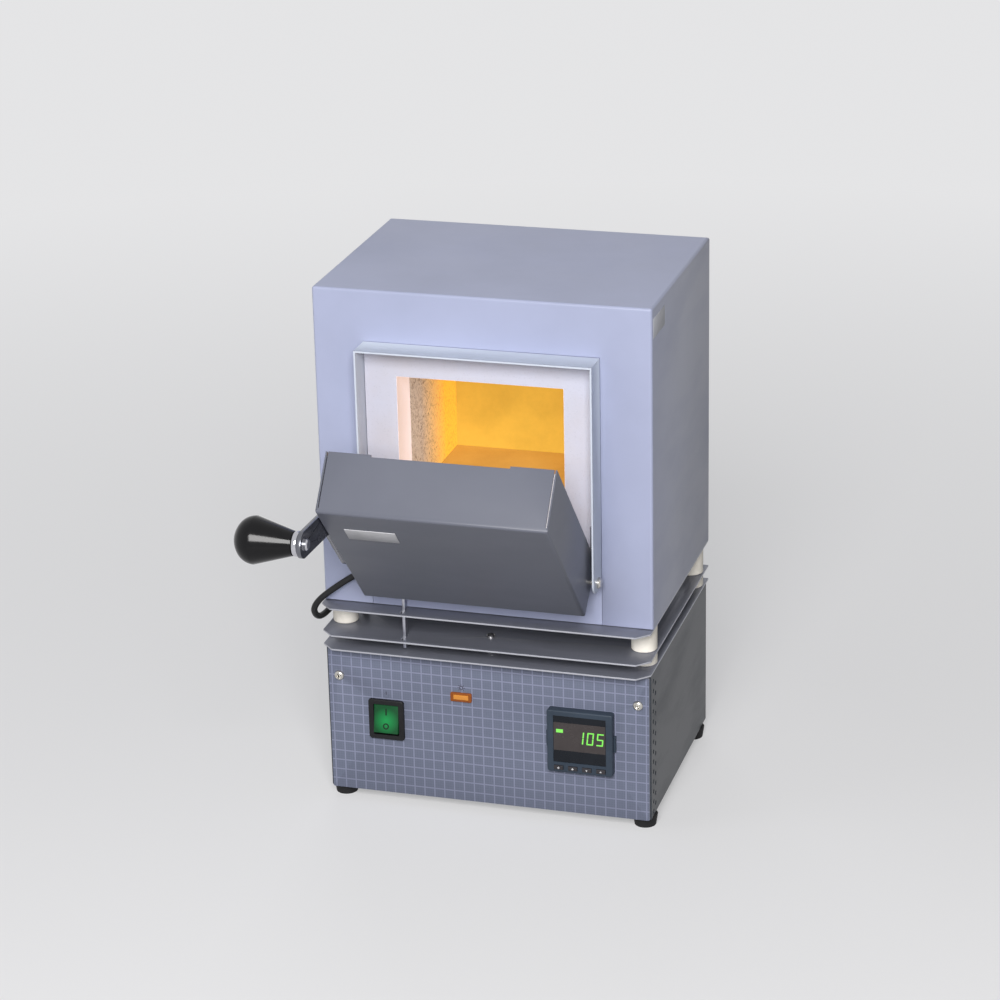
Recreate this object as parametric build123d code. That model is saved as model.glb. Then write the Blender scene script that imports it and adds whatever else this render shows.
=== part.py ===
from build123d import *
from math import cos, hypot, pi, radians, sin, tan
import os

# Bench muffle furnace, door open: a furnace body carried by ceramic spacers above a control cabinet.
# Everything is laid out in millimetres with X = 0 in the middle of the casing, Y = 0 on the casing's
# front plane, Y growing to the back, and Z = 0 on the bench. When the pieces are saved they are all
# moved together, so that the origin is the bottom centre of the furnace's bounding box.

# Driving dimensions of the furnace body
casing_width = 241.0
casing_depth = 174.6
casing_height = 233.6
sheet = 1.2
casing_bend = 2.0
casing_front_gap = 0.6
plate_lip = 15.5
plate_chamfer = 9.0
upper_gap = 19.4
lower_gap = 9.4
spacer_radius = 9.25
spacer_edge = 10.0
spacer_front = 15.0
spacer_chamfer = 0.6
bolt_radius = 3.0
bolt_head_radius = 5.5
bolt_head_height = 3.6
nut_width = 10.0
nut_height = 5.0

# Driving dimensions of the control cabinet
cabinet_side_setback = 0.7
cabinet_rear_setback = 4.4
cabinet_height = 113.4
cabinet_bend = 1.5
foot_height = 8.0
foot_radius = 9.0
foot_edge = 7.3
foot_front = 10.5
panel_side_setback = 1.3
panel_below_top_plate = 2.8
panel_thickness = 1.5
panel_forward = 4.3
flange_width = 14.0
vent_radius = 1.75
vent_pitch = 7.8
vent_front = 5.8
vent_columns = 2
vent_column_gap = 6.0
vent_margin = 4.5

# Driving dimensions of the chamber and its insulation
chamber_width = 119.0
chamber_height = 98.0
opening_top_below_casing_top = 59.6
board_thickness = 28.0
board_forward = 4.0
plate_wall = 12.0
back_wall = 20.0
rear_insulation = 15.8
rear_room = 6.0
slit = 0.3

# Driving dimensions of the door collar
cheek_gap = 2.8
collar_forward = 22.0
collar_behind = 12.0
collar_top_margin = 22.5
collar_flange = 8.0
cheek_drop = 14.4
cheek_round = 9.0

# Driving dimensions of the door, given as it stands closed
open_angle = 43.0
door_width = 160.0
door_face_height = 132.9
door_depth = 42.7
door_bend = 2.0
top_wall_slope = 9.3
rim_gap = 0.5
seam = 0.7
relief_width = 96.0
relief_depth = 1.6
hinge_below_opening = 20.0
hinge_behind_front = 3.5
face_below_hinge = 3.1
ear_radius = 6.5
pin_radius = 2.0
running_gap = 0.05
stop_radius = 2.0
stop_lift = 15.3
plug_margin = 3.0
plug_height = 8.5

# Driving dimensions of the handle
arm_thickness = 3.0
arm_width = 19.0
arm_from_face = 10.7
arm_reach = 35.7
arm_leg = 48.0
arm_bend_below_top = 32.0
ferrule_length = 4.7
ferrule_radius = 8.7
ferrule_chamfer = 0.6
knob_length = 41.0
knob_radius = 16.35
knob_neck_radius = 8.4
knob_widest = 27.0
knob_crown = 36.6
knob_crown_radius = 12.0
knob_end_flat = 3.0

# Driving dimensions of the strap between the door and its switch
strap_x = -59.5
strap_thickness = 2.0
strap_width = 5.0
strap_front = 6.5
strap_foot_height = 2.5
strap_foot_length = 22.0
plunger_radius = 2.5
touch = 0.1

# Driving dimensions of the panel instruments
screw_head_radius = 3.75
screw_head_height = 2.3
panel_screw_length = 7.0
panel_screw_inset = 8.0
panel_screw_below_top = 21.3
rocker_center = (-75.5, 66.5)
rocker_bezel = (26.5, 31.0)
rocker_size = (18.0, 22.0)
rocker_tilt = 8.0
bezel_stand = 2.4
lamp_center = (-19.0, 90.0)
lamp_bezel = (15.6, 6.8)
lamp_lens = (11.4, 3.8)
controller_center = (69.4, 66.2)
controller_face = 48.0
controller_stand = 6.5
controller_cutout = 45.0
controller_length = 78.0
window_size = (38.4, 36.0)
window_above_center = 2.0
button_count = 4
button_pitch = 10.3
button_size = (6.6, 3.2)
button_below_center = 20.2
button_travel = 0.8

# Heights above the bench that follow from the sizes above
cabinet_bottom = foot_height
panel_bottom = cabinet_bottom
top_plate_low = cabinet_bottom + cabinet_height
top_plate_high = top_plate_low + sheet
tray_low = top_plate_high + lower_gap
tray_high = tray_low + sheet
base_low = tray_high + upper_gap
base_high = base_low + sheet
casing_top = base_high + casing_height
opening_top = casing_top - opening_top_below_casing_top
opening_bottom = opening_top - chamber_height
collar_top = opening_top + collar_top_margin
hinge_y = hinge_behind_front
hinge_z = opening_bottom - hinge_below_opening
sill_top = hinge_z - 10.2
cheek_low = sill_top - sheet - cheek_drop

# Half widths and depths that follow
casing_x = casing_width / 2
cabinet_x = casing_x - cabinet_side_setback
chamber_x = chamber_width / 2
door_x = door_width / 2
collar_in_x = door_x + cheek_gap
collar_x = collar_in_x + sheet
spacer_x = casing_x - spacer_edge
spacer_rear = casing_depth - spacer_front
board_back = board_thickness - board_forward
insulation_back = casing_depth - sheet - rear_room
chamber_back = insulation_back - rear_insulation - slit - back_wall - slit
rim_y = -board_forward - rim_gap
face_y = rim_y - door_depth
face_low = hinge_z - face_below_hinge
face_high = face_low + door_face_height
rim_high = face_high + door_depth * tan(radians(top_wall_slope))
hinge_axis = Axis((0, hinge_y, hinge_z), (1, 0, 0))


def block(x0, x1, y0, y1, z0, z1):
    """A plain box between two corners."""
    return Pos((x0 + x1) / 2, (y0 + y1) / 2, (z0 + z1) / 2) * Box(abs(x1 - x0), abs(y1 - y0), abs(z1 - z0))


def rod_x(radius, x0, x1, y, z):
    """A round bar along X."""
    return Pos((x0 + x1) / 2, y, z) * Rot(0, 90, 0) * Cylinder(radius, abs(x1 - x0))


def rod_y(radius, y0, y1, x, z):
    """A round bar along Y."""
    return Pos(x, (y0 + y1) / 2, z) * Rot(90, 0, 0) * Cylinder(radius, abs(y1 - y0))


def rod_z(radius, z0, z1, x, y):
    """A round bar along Z."""
    return Pos(x, y, (z0 + z1) / 2) * Cylinder(radius, abs(z1 - z0))


def side_slab(points, x0, x1):
    """A slab with an outline of (y, z) points, between two X planes."""
    wire = Polyline(*[(x0, y, z) for y, z in points], close=True)
    return extrude(make_face(wire), amount=x1 - x0, dir=(1, 0, 0))


def pan_screw(seat, direction, head_radius, head_height, shank_radius, shank_length):
    """A pan head screw: its head stands on the seat, its shank runs along the direction."""
    head = Cylinder(head_radius, head_height, align=(Align.CENTER, Align.CENTER, Align.MIN))
    head = chamfer(head.faces().sort_by(Axis.Z)[-1].edges(), head_height * 0.4)
    shank = Cylinder(shank_radius, shank_length, align=(Align.CENTER, Align.CENTER, Align.MAX))
    return Plane(origin=seat, z_dir=tuple(-c for c in direction)) * (head + shank)


def opened(shape):
    """Turns a piece of the closed door about the hinge to the open stop."""
    return shape.rotate(hinge_axis, open_angle)


def opened_point(y, z):
    """Where a point of the closed door lies at the open stop."""
    c, s = cos(radians(open_angle)), sin(radians(open_angle))
    dy, dz = y - hinge_y, z - hinge_z
    return hinge_y + dy * c - dz * s, hinge_z + dy * s + dz * c


def under_open_door(y, gap):
    """Height that lies a gap under the open door's bottom wall."""
    foot_y, foot_z = opened_point(face_y, face_low)
    slope = tan(radians(open_angle))
    return foot_z + (y - foot_y) * slope - gap / cos(radians(open_angle))


def four_corners():
    """Centres of the four spacers."""
    return [(x, y) for x in (-spacer_x, spacer_x) for y in (spacer_front, spacer_rear)]


nodes = {}


# Deck plates: the same outline three times, with a lip and cut corners at the front
conduit_radius = 8.0
conduit_y = spacer_rear - 14.0
strap_back = strap_front - strap_width
slot_gap = 0.3


def deck_plate(low, with_strap_slot):
    """One of the three level plates."""
    outline = Polyline(
        (-casing_x, casing_depth), (-casing_x, plate_chamfer - plate_lip),
        (-casing_x + plate_chamfer, -plate_lip), (casing_x - plate_chamfer, -plate_lip),
        (casing_x, plate_chamfer - plate_lip), (casing_x, casing_depth), close=True)
    plate = extrude(make_face(outline), amount=sheet)
    plate = Pos(0, 0, low) * plate
    for x, y in four_corners():
        plate -= rod_z(bolt_radius + slit, low - 1, low + sheet + 1, x, y)
    plate -= rod_z(conduit_radius - 1.5, low - 1, low + sheet + 1, 0, conduit_y)
    if with_strap_slot:
        half = strap_thickness / 2 + slot_gap
        plate -= block(strap_x - half, strap_x + half, -strap_front - 5.5, -strap_back + slot_gap,
                       low - 1, low + sheet + 1)
    return plate


base_plate = deck_plate(base_low, True)
tray = deck_plate(tray_low, True)
cabinet_top = deck_plate(top_plate_low, False)

# Screws that hold the tray down on low standoffs, at the middle of its front and rear edge
tray_screw_radius = 1.6
tray_screw_inset = 8.8
tray_screw_length = 7.5
tray_screw_head = (2.9, 1.9)
tray_screw_spots = [(0, tray_screw_inset), (0, casing_depth - tray_screw_inset)]
standoff_radius = 4.0
for x, y in tray_screw_spots:
    tray -= rod_z(tray_screw_radius + 0.2, tray_low - 1, tray_high + 1, x, y)
tray_standoffs = []
tray_screws = []
for x, y in tray_screw_spots:
    post = rod_z(standoff_radius, top_plate_high, tray_low, x, y)
    post -= rod_z(tray_screw_radius + running_gap, top_plate_high + 1.5, tray_low + 1, x, y)
    tray_standoffs.append(post)
    tray_screws.append(pan_screw((x, y, tray_high), (0, 0, -1), *tray_screw_head, tray_screw_radius,
                                 tray_screw_length))

# Ceramic spacers with the tie bolts that clamp plates and spacers together
upper_spacers = []
lower_spacers = []
tie_bolts = []
tie_nuts = []
nut_top = top_plate_low - sheet
nut_low = nut_top - nut_height
for x, y in four_corners():
    upper = rod_z(spacer_radius, tray_high, base_low, x, y)
    upper = chamfer(upper.edges().filter_by(GeomType.CIRCLE), spacer_chamfer)
    upper_spacers.append(upper - rod_z(bolt_radius + slit, tray_high - 1, base_low + 1, x, y))
    lower = rod_z(spacer_radius, top_plate_high, tray_low, x, y)
    lower = chamfer(lower.edges().filter_by(GeomType.CIRCLE), spacer_chamfer)
    lower_spacers.append(lower - rod_z(bolt_radius + slit, top_plate_high - 1, tray_low + 1, x, y))
    seat = base_high + sheet
    shank = rod_z(bolt_radius, nut_low - 2.0, seat, x, y)
    head = Pos(x, y, seat) * extrude(RegularPolygon(bolt_head_radius, 6), bolt_head_height)
    tie_bolts.append(shank + head)
    nut = Pos(x, y, nut_low) * extrude(RegularPolygon(nut_width / 2 / cos(radians(30)), 6), nut_height)
    tie_nuts.append(nut - rod_z(bolt_radius + running_gap, nut_low - 1, nut_top + 1, x, y))

# Conduit for the wires between furnace and cabinet, standing between the plates
conduit_upper = rod_z(conduit_radius, tray_high, base_low, 0, conduit_y)
conduit_upper -= rod_z(conduit_radius - 1.5, tray_high - 1, base_low + 1, 0, conduit_y)
conduit_lower = rod_z(conduit_radius, top_plate_high, tray_low, 0, conduit_y)
conduit_lower -= rod_z(conduit_radius - 1.5, top_plate_high - 1, tray_low + 1, 0, conduit_y)

# Furnace casing: front, sides and top folded from one sheet, open below and behind
flange_reach = spacer_edge + bolt_head_radius + 2.5
casing = block(-casing_x, casing_x, 0, casing_depth, base_high, casing_top)
sharp = casing.edges().filter_by(Axis.Z).sort_by(Axis.Y)[0:2]
sharp += casing.faces().sort_by(Axis.Z)[-1].edges()
casing = fillet(sharp, casing_bend)
casing -= block(-casing_x + sheet, casing_x - sheet, sheet, casing_depth + 1,
                base_high - 1, casing_top - sheet)
for side in (-1, 1):
    casing += block(side * casing_x, side * (casing_x - flange_reach), 0, casing_depth,
                    base_high, base_high + sheet)
for x, y in four_corners():
    casing -= rod_z(bolt_radius + slit, base_high - 1, base_high + 2 * sheet, x, y)
casing -= block(-collar_x - slit, collar_x + slit, -1, sheet + 1, base_high - 1, collar_top + slit)
casing -= block(-casing_x - 1, casing_x + 1, -1, sheet + slit, base_high - 1, base_high + casing_front_gap)

# Rear panel of the furnace with rows of cooling slots and its screws
rear_screw_radius = 1.75
rear_inset = 7.0
rear_screw_head = (3.4, 1.6)
rear_screw_length = 6.0
low_screw_height = 40.0
high_screw_drop = 30.0
rear_low = base_high + sheet + slit
rear_high = casing_top - sheet - slit
rear_half = casing_x - sheet - slit
rear_panel = block(-rear_half, rear_half, casing_depth - sheet, casing_depth, rear_low, rear_high)
slot_length = 26.0
slot_height = 3.6
slot_pitch = 9.0
slot_rows = 6
slot_columns = 4
for row in range(slot_rows):
    for column in range(slot_columns):
        x = (column - (slot_columns - 1) / 2) * (slot_length + 12)
        z = rear_low + 24 + row * slot_pitch
        rear_panel -= block(x - slot_length / 2, x + slot_length / 2,
                            casing_depth - 2 * sheet, casing_depth + 1, z, z + slot_height)
rear_screws = []
for x in (-rear_half + rear_inset, rear_half - rear_inset):
    for z in (rear_low + low_screw_height, (rear_low + rear_high) / 2, rear_high - high_screw_drop):
        rear_panel -= rod_y(rear_screw_radius + 0.2, casing_depth - sheet - 1, casing_depth + 1, x, z)
        rear_screws.append(pan_screw((x, casing_depth, z), (0, -1, 0), *rear_screw_head, rear_screw_radius,
                                     rear_screw_length))
        side = 1 if x > 0 else -1
        tab = block(side * (casing_x - sheet), x - side * 6, casing_depth - 2 * sheet, casing_depth - sheet,
                    z - 7, z + 7)
        casing += tab - rod_y(rear_screw_radius + running_gap, casing_depth - 10, casing_depth, x, z)

# Collar round the door opening: top wall, two cheeks, a sill and an apron that closes the casing's front
# below them, with a flange behind the casing front
collar = block(-collar_x, collar_x, -collar_forward, collar_behind, collar_top - sheet, collar_top)
for side in (-1, 1):
    outline = [(-collar_forward, cheek_low), (-slit, cheek_low), (-slit, sill_top - sheet),
               (collar_behind, sill_top - sheet), (collar_behind, collar_top), (-collar_forward, collar_top)]
    low_x = min(side * collar_x, side * collar_in_x)
    cheek = side_slab(outline, low_x, low_x + sheet)
    corner = cheek.edges().filter_by(Axis.X).group_by(Axis.Z)[0].sort_by(Axis.Y)[0]
    cheek = fillet(corner, cheek_round)
    collar += cheek
collar += block(-collar_x, collar_x, 0, collar_behind, sill_top - sheet, sill_top)
collar += block(-collar_x, collar_x, 0, sheet, base_high + casing_front_gap, sill_top)
flange_outer = block(-collar_x - collar_flange, collar_x + collar_flange, sheet, 2 * sheet,
                     base_high + casing_front_gap, collar_top + collar_flange)
flange_inner = block(-collar_in_x, collar_in_x, 0, 3 * sheet, sill_top, collar_top - sheet)
collar += flange_outer - flange_inner

# White front board with the chamber mouth: the lower lip is set back, and the corners leave room for the ears
board_x = collar_in_x - slit
board_top = collar_top - sheet - slit
ear_side = door_x - sheet - 1.6
front_board = block(-board_x, board_x, -board_forward, board_back, hinge_z + 2.2, board_top)
front_board += block(-board_x, board_x, collar_behind + 1, board_back, sill_top + slit, hinge_z + 2.2)
front_board -= block(-chamber_x, chamber_x, -board_forward - 1, board_back + 1, opening_bottom, opening_top)
for side in (-1, 1):
    front_board -= block(side * ear_side, side * (board_x + 1), -board_forward - 1, collar_behind + 1,
                         sill_top, hinge_z + 19)

# Heating plates, hearth and back block that line the chamber
lining_front = board_back + slit
lining_out_x = chamber_x + plate_wall
lining_low = opening_bottom - plate_wall
lining_high = opening_top + plate_wall
coil_radius = 1.6
coil_turns = 5
groove_depth = 4.0
coil_heights = [opening_bottom + (k + 0.5) * chamber_height / coil_turns for k in range(coil_turns)]
heating_plates = {}
for name, side in (("heating_plate_left", -1), ("heating_plate_right", 1)):
    plate = block(side * chamber_x, side * lining_out_x, lining_front, chamber_back,
                  opening_bottom, opening_top)
    for z in coil_heights:
        plate -= block(side * (lining_out_x - groove_depth), side * (lining_out_x + 1), lining_front + 6,
                       chamber_back + 1, z - 3, z + 3)
    heating_plates[name] = plate
chamber_roof = block(-lining_out_x, lining_out_x, lining_front, chamber_back,
                     opening_top + slit, lining_high)
hearth_plate = block(-lining_out_x, lining_out_x, lining_front, chamber_back,
                     lining_low, opening_bottom - slit)
back_front = chamber_back + slit
back_block = block(-lining_out_x, lining_out_x, back_front, back_front + back_wall, lining_low, lining_high)

# Heating coils in the outer grooves of the side plates
coils = []
for side in (-1, 1):
    x = side * (lining_out_x - groove_depth + slit + coil_radius)
    for z in coil_heights:
        coils.append(rod_y(coil_radius, lining_front + 7, chamber_back - slit, x, z))

# Insulation boards round the lining
insulation_x = casing_x - sheet - slit
insulation_low = base_high + slit
insulation_high = casing_top - sheet - slit
mid_low = lining_low - slit
mid_high = lining_high + slit
insulation_top = block(-insulation_x, insulation_x, lining_front, insulation_back,
                       mid_high, insulation_high)
insulation_bottom = block(-insulation_x, insulation_x, lining_front, insulation_back,
                          insulation_low, mid_low)
for side in (-1, 1):
    insulation_bottom -= block(side * (casing_x - flange_reach - slit), side * casing_x, 0, casing_depth,
                               base_low, base_high + sheet + slit)
for x, y in four_corners():
    insulation_bottom -= rod_z(bolt_head_radius + 0.5, base_low, base_high + sheet + bolt_head_height + slit,
                               x, y)
side_slits = lining_out_x + slit
insulation_sides = [block(side * side_slits, side * insulation_x, lining_front, insulation_back,
                          mid_low + slit, mid_high - slit) for side in (-1, 1)]
insulation_rear = block(-lining_out_x, lining_out_x, back_front + back_wall + slit, insulation_back,
                        mid_low + slit, mid_high - slit)

# Thermocouple: a thin sheath through the rear into the top of the chamber, with its terminal head
sheath_radius = 2.0
sheath_below_roof = 7.0
sheath_reach = 12.0
sheath_z = opening_top - sheath_below_roof
sheath_tip = chamber_back - sheath_reach
terminal_head = (18.0, 4.7, 12.0)
sheath_hole = rod_y(sheath_radius + slit, back_front - 1, insulation_back + 1, 0, sheath_z)
back_block -= sheath_hole
insulation_rear -= sheath_hole
tip = Pos(0, sheath_tip, sheath_z) * Sphere(sheath_radius)
thermocouple = rod_y(sheath_radius, sheath_tip, insulation_back, 0, sheath_z) + tip
thermocouple += Pos(0, insulation_back + slit + terminal_head[1] / 2, sheath_z) * Box(*terminal_head)
thermocouple += rod_y(sheath_radius, insulation_back - 1, insulation_back + 1, 0, sheath_z)

# Door shell: folded sheet, outlined in Y and Z as it stands closed, with slots at the upper folds
outer_outline = [(face_y, face_low), (face_y, face_high), (rim_y, rim_high), (rim_y, face_low)]
inner_face = face_y + sheet
slope_rise = tan(radians(top_wall_slope))
wall_drop = sheet / cos(radians(top_wall_slope))
inner_outline = [(inner_face, face_low + sheet), (inner_face, face_high - wall_drop + sheet * slope_rise),
                 (rim_y + 1, rim_high - wall_drop + slope_rise), (rim_y + 1, face_low + sheet)]
shell = side_slab(outer_outline, -door_x, door_x)
front_edges = shell.faces().sort_by(Axis.Y)[0].edges()
shell = fillet(front_edges, door_bend)
shell -= side_slab(inner_outline, -door_x + sheet, door_x - sheet)
wall_length = door_depth - 3.5
for side in (-1, 1):
    slot_x = side * (door_x - sheet - seam / 2)
    shell -= block(slot_x - seam / 2, slot_x + seam / 2, rim_y - wall_length, rim_y + 1,
                   face_high - 4, rim_high + 2)
shell -= block(-relief_width / 2, relief_width / 2, rim_y - relief_depth, rim_y + 1,
               rim_high - 5, rim_high + 3)
for side in (-1, 1):
    ear_low_x = min(side * door_x, side * (door_x - sheet))
    ear_outline = [(rim_y - 6, face_low), (rim_y, face_low), (hinge_y, hinge_z - ear_radius),
                   (hinge_y + ear_radius, hinge_z), (hinge_y + 2, hinge_z + ear_radius + 1.5),
                   (rim_y, hinge_z + 15), (rim_y - 6, hinge_z + 15)]
    ear = side_slab(ear_outline, ear_low_x, ear_low_x + sheet)
    ear += rod_x(ear_radius, ear_low_x, ear_low_x + sheet, hinge_y, hinge_z)
    ear -= rod_x(pin_radius + running_gap, ear_low_x - 1, ear_low_x + sheet + 1, hinge_y, hinge_z)
    shell += ear

# Door insulation: a block that fills the shell and a plug that closes the chamber mouth
block_x = door_x - sheet - slit
block_back = rim_y - relief_depth - 0.4
lower_cut = sheet + slit
door_block = side_slab([(inner_face + slit, face_low + lower_cut),
                        (inner_face + slit, face_high - wall_drop - slit),
                        (block_back, face_high - wall_drop - slit + (block_back - inner_face) * slope_rise),
                        (block_back, face_low + lower_cut)], -block_x, block_x)
plug_x = chamber_x - plug_margin
plug = block(-plug_x, plug_x, block_back, block_back + plug_height, opening_bottom + plug_margin,
             opening_top - plug_margin)
plug = fillet(plug.faces().sort_by(Axis.Y)[-1].edges(), 2.0)
door_block += plug

# Hinge pins: a shoulder between cheek and ear, a journal through the ear, a shank riveted flush in the cheek
shoulder_radius = 3.6
hinge_pins = []
for side in (-1, 1):
    shoulder = rod_x(shoulder_radius, side * (collar_in_x - touch), side * (door_x + touch), hinge_y, hinge_z)
    journal = rod_x(pin_radius, side * collar_in_x, side * (door_x - sheet - 1.2), hinge_y, hinge_z)
    shank = rod_x(pin_radius, side * (collar_in_x - touch), side * collar_x, hinge_y, hinge_z)
    hinge_pins.append(shoulder + journal + shank)
    low_x = min(side * collar_x, side * collar_in_x)
    collar -= rod_x(pin_radius + running_gap, low_x - 1, low_x + sheet + 1, hinge_y, hinge_z)

# Stop screws: the open door's bottom edge rests on them
run = radians(open_angle)
foot_y, foot_z = opened_point(face_y, face_low)
wall_y, wall_z = opened_point(rim_y, face_low)
stop_y = wall_y - stop_lift * cos(run) + (stop_radius + touch) * sin(run)
stop_z = wall_z - stop_lift * sin(run) - (stop_radius + touch) * cos(run)
stop_head_radius = 4.0
stop_screws = []
for side in (-1, 1):
    stop_screws.append(pan_screw((side * collar_x, stop_y, stop_z), (-side, 0, 0), stop_head_radius, 2.4,
                                 stop_radius, collar_x - door_x + sheet + 2.5))
    low_x = min(side * collar_x, side * collar_in_x)
    collar -= rod_x(stop_radius + running_gap, low_x - 1, low_x + sheet + 1, stop_y, stop_z)

# Handle: a cranked flat arm on the door's left wall, a ferrule, a turned knob and their screws
arm_x = -door_x - arm_thickness
arm_y = face_y + arm_from_face
bend_z = face_high - arm_bend_below_top
knob_y = arm_y - arm_reach
knob_z = bend_z + arm_reach


def arm_bar(y0, z0, y1, z1):
    """A flat bar with round ends between two points, in the arm's plane."""
    length = hypot(y1 - y0, z1 - z0)
    across, along = (z1 - z0) / length * arm_width / 2, (y1 - y0) / length * arm_width / 2
    bar = side_slab([(y0 + across, z0 - along), (y1 + across, z1 - along), (y1 - across, z1 + along),
                     (y0 - across, z0 + along)], arm_x, -door_x)
    for y, z in ((y0, z0), (y1, z1)):
        bar += rod_x(arm_width / 2, arm_x, -door_x, y, z)
    return bar


handle_arm = arm_bar(knob_y, knob_z, arm_y, bend_z) + arm_bar(arm_y, bend_z, arm_y, bend_z - arm_leg)
knob_screw_radius = 2.5
arm_screw_radius = 2.0
handle_arm -= rod_x(knob_screw_radius + 0.2, arm_x - 1, -door_x + 1, knob_y, knob_z)
arm_screws = []
for z in (bend_z - 8.0, bend_z - arm_leg + 4.0):
    handle_arm -= rod_x(arm_screw_radius + 0.2, arm_x - 1, -door_x + 1, arm_y, z)
    shell -= rod_x(arm_screw_radius + running_gap, -door_x - 1, -door_x + sheet + 1, arm_y, z)
    door_block -= rod_x(arm_screw_radius + 0.8, -door_x, -door_x + 9, arm_y, z)
    arm_screws.append(pan_screw((arm_x, arm_y, z), (1, 0, 0), 3.8, 2.1, arm_screw_radius,
                                arm_thickness + sheet + 3.0))

ferrule_end = arm_x - ferrule_length
ferrule = rod_x(ferrule_radius, ferrule_end, arm_x, knob_y, knob_z)
ferrule = chamfer(ferrule.edges().filter_by(GeomType.CIRCLE), ferrule_chamfer)
ferrule -= rod_x(knob_screw_radius + 0.1, ferrule_end - 1, arm_x + 1, knob_y, knob_z)
knob_end = ferrule_end - knob_length
with BuildSketch(Plane.XY) as knob_half:
    with BuildLine():
        Line((ferrule_end, 0), (ferrule_end, knob_neck_radius))
        Line((ferrule_end, knob_neck_radius), (ferrule_end - knob_widest, knob_radius))
        crown = TangentArc((ferrule_end - knob_widest, knob_radius),
                           (ferrule_end - knob_crown, knob_crown_radius), tangent=(-1, 0))
        TangentArc((ferrule_end - knob_crown, knob_crown_radius), (knob_end, knob_end_flat),
                   tangent=crown % 1)
        Polyline((knob_end, knob_end_flat), (knob_end, 0), (ferrule_end, 0))
    make_face()
knob = Pos(0, knob_y, knob_z) * revolve(knob_half.sketch, Axis.X)
knob_screw_depth = 18.0
knob -= rod_x(knob_screw_radius + running_gap, ferrule_end - knob_screw_depth - 1, ferrule_end + 1,
              knob_y, knob_z)
knob_screw = pan_screw((-door_x, knob_y, knob_z), (-1, 0, 0), 4.2, 2.4, knob_screw_radius,
                       arm_thickness + ferrule_length + knob_screw_depth)

# Strap that carries the door's movement down to the switch: an upright leg, and a foot above the top plate
strap_top = under_open_door(-strap_front, 0.3)
strap_low = top_plate_high + touch + 2.0
half = strap_thickness / 2
strap = block(strap_x - half, strap_x + half, -strap_front, -strap_back, strap_low, strap_top)
strap += block(strap_x - half, strap_x + half, -strap_front, -strap_front + strap_foot_length,
               strap_low, strap_low + strap_foot_height)
plunger_y = -strap_front + strap_foot_length - 5.0
plunger_top = strap_low - touch
cabinet_top -= rod_z(plunger_radius + 0.3, top_plate_low - 1, top_plate_high + 1, strap_x, plunger_y)
switch_top = top_plate_low - 0.3
switch_height = 16.0
plunger = rod_z(plunger_radius, switch_top - 6.0, plunger_top, strap_x, plunger_y)
switch_low = switch_top - switch_height
door_switch = block(strap_x - 5, strap_x + 5, plunger_y - 10, plunger_y + 14, switch_low, switch_top)
door_switch -= rod_z(plunger_radius + 0.3, switch_top - 6.5, switch_top + 1, strap_x, plunger_y)
for y in (plunger_y - 6, plunger_y + 2, plunger_y + 10):
    door_switch += block(strap_x - 2.4, strap_x + 2.4, y - 0.4, y + 0.4, switch_low - 3.5, switch_low)

# Cabinet shell: bottom and two sides folded from one sheet, with flanges for the front and rear panels
shell_front = -panel_forward + panel_thickness
shell_low = cabinet_bottom
shell_high = top_plate_low
shell_rear = casing_depth - cabinet_rear_setback
cabinet = block(-cabinet_x, cabinet_x, shell_front, shell_rear, shell_low, shell_high)
lower_bends = cabinet.edges().filter_by(Axis.Y).group_by(Axis.Z)[0]
cabinet = fillet(lower_bends, cabinet_bend)
cabinet -= block(-cabinet_x + sheet, cabinet_x - sheet, shell_front - 1, shell_rear + 1,
                 shell_low + sheet, shell_high + 1)
for side in (-1, 1):
    for front in (shell_front, shell_rear - sheet):
        cabinet += block(side * (cabinet_x - sheet / 2), side * (cabinet_x - flange_width),
                         front, front + sheet, shell_low + sheet / 2, shell_high)
    cabinet += block(side * (cabinet_x - sheet / 2), side * (cabinet_x - flange_width - nut_width / 2),
                     shell_front, shell_rear, shell_high - sheet, shell_high)
for x, y in four_corners():
    cabinet -= rod_z(bolt_radius + slit, shell_high - sheet - 1, shell_high + 1, x, y)
holes = []
for column in range(vent_columns):
    y = shell_front + vent_front + column * vent_column_gap
    start = shell_low + vent_margin + vent_pitch / 2 * column
    count = int((shell_high - vent_margin - start) / vent_pitch) + 1
    for k in range(count):
        holes.append(rod_x(vent_radius, -cabinet_x - 1, cabinet_x + 1, y, start + k * vent_pitch))
cabinet -= holes

# Control panel, which covers the whole front of the cabinet
panel_front = -panel_forward
panel_back = panel_front + panel_thickness
panel_x = cabinet_x - panel_side_setback
panel_top = top_plate_low - panel_below_top_plate
panel = block(-panel_x, panel_x, panel_front, panel_back, panel_bottom, panel_top)
panel = fillet(panel.edges().filter_by(Axis.Y), 1.0)
panel_screw_z = panel_top - panel_screw_below_top
panel_screws = []
for side in (-1, 1):
    x = side * (panel_x - panel_screw_inset)
    panel -= rod_y(1.95, panel_front - 1, panel_back + 1, x, panel_screw_z)
    cabinet -= rod_y(1.75 + running_gap, shell_front - 1, shell_front + sheet + 1, x, panel_screw_z)
    panel_screws.append(pan_screw((x, panel_front, panel_screw_z), (0, 1, 0), screw_head_radius,
                                  screw_head_height, 1.75, panel_screw_length))


def panel_window(center, size):
    """Cuts a window for an instrument into the control panel."""
    return block(center[0] - size[0] / 2, center[0] + size[0] / 2, panel_front - 1, panel_back + 1,
                 center[1] - size[1] / 2, center[1] + size[1] / 2)


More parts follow.
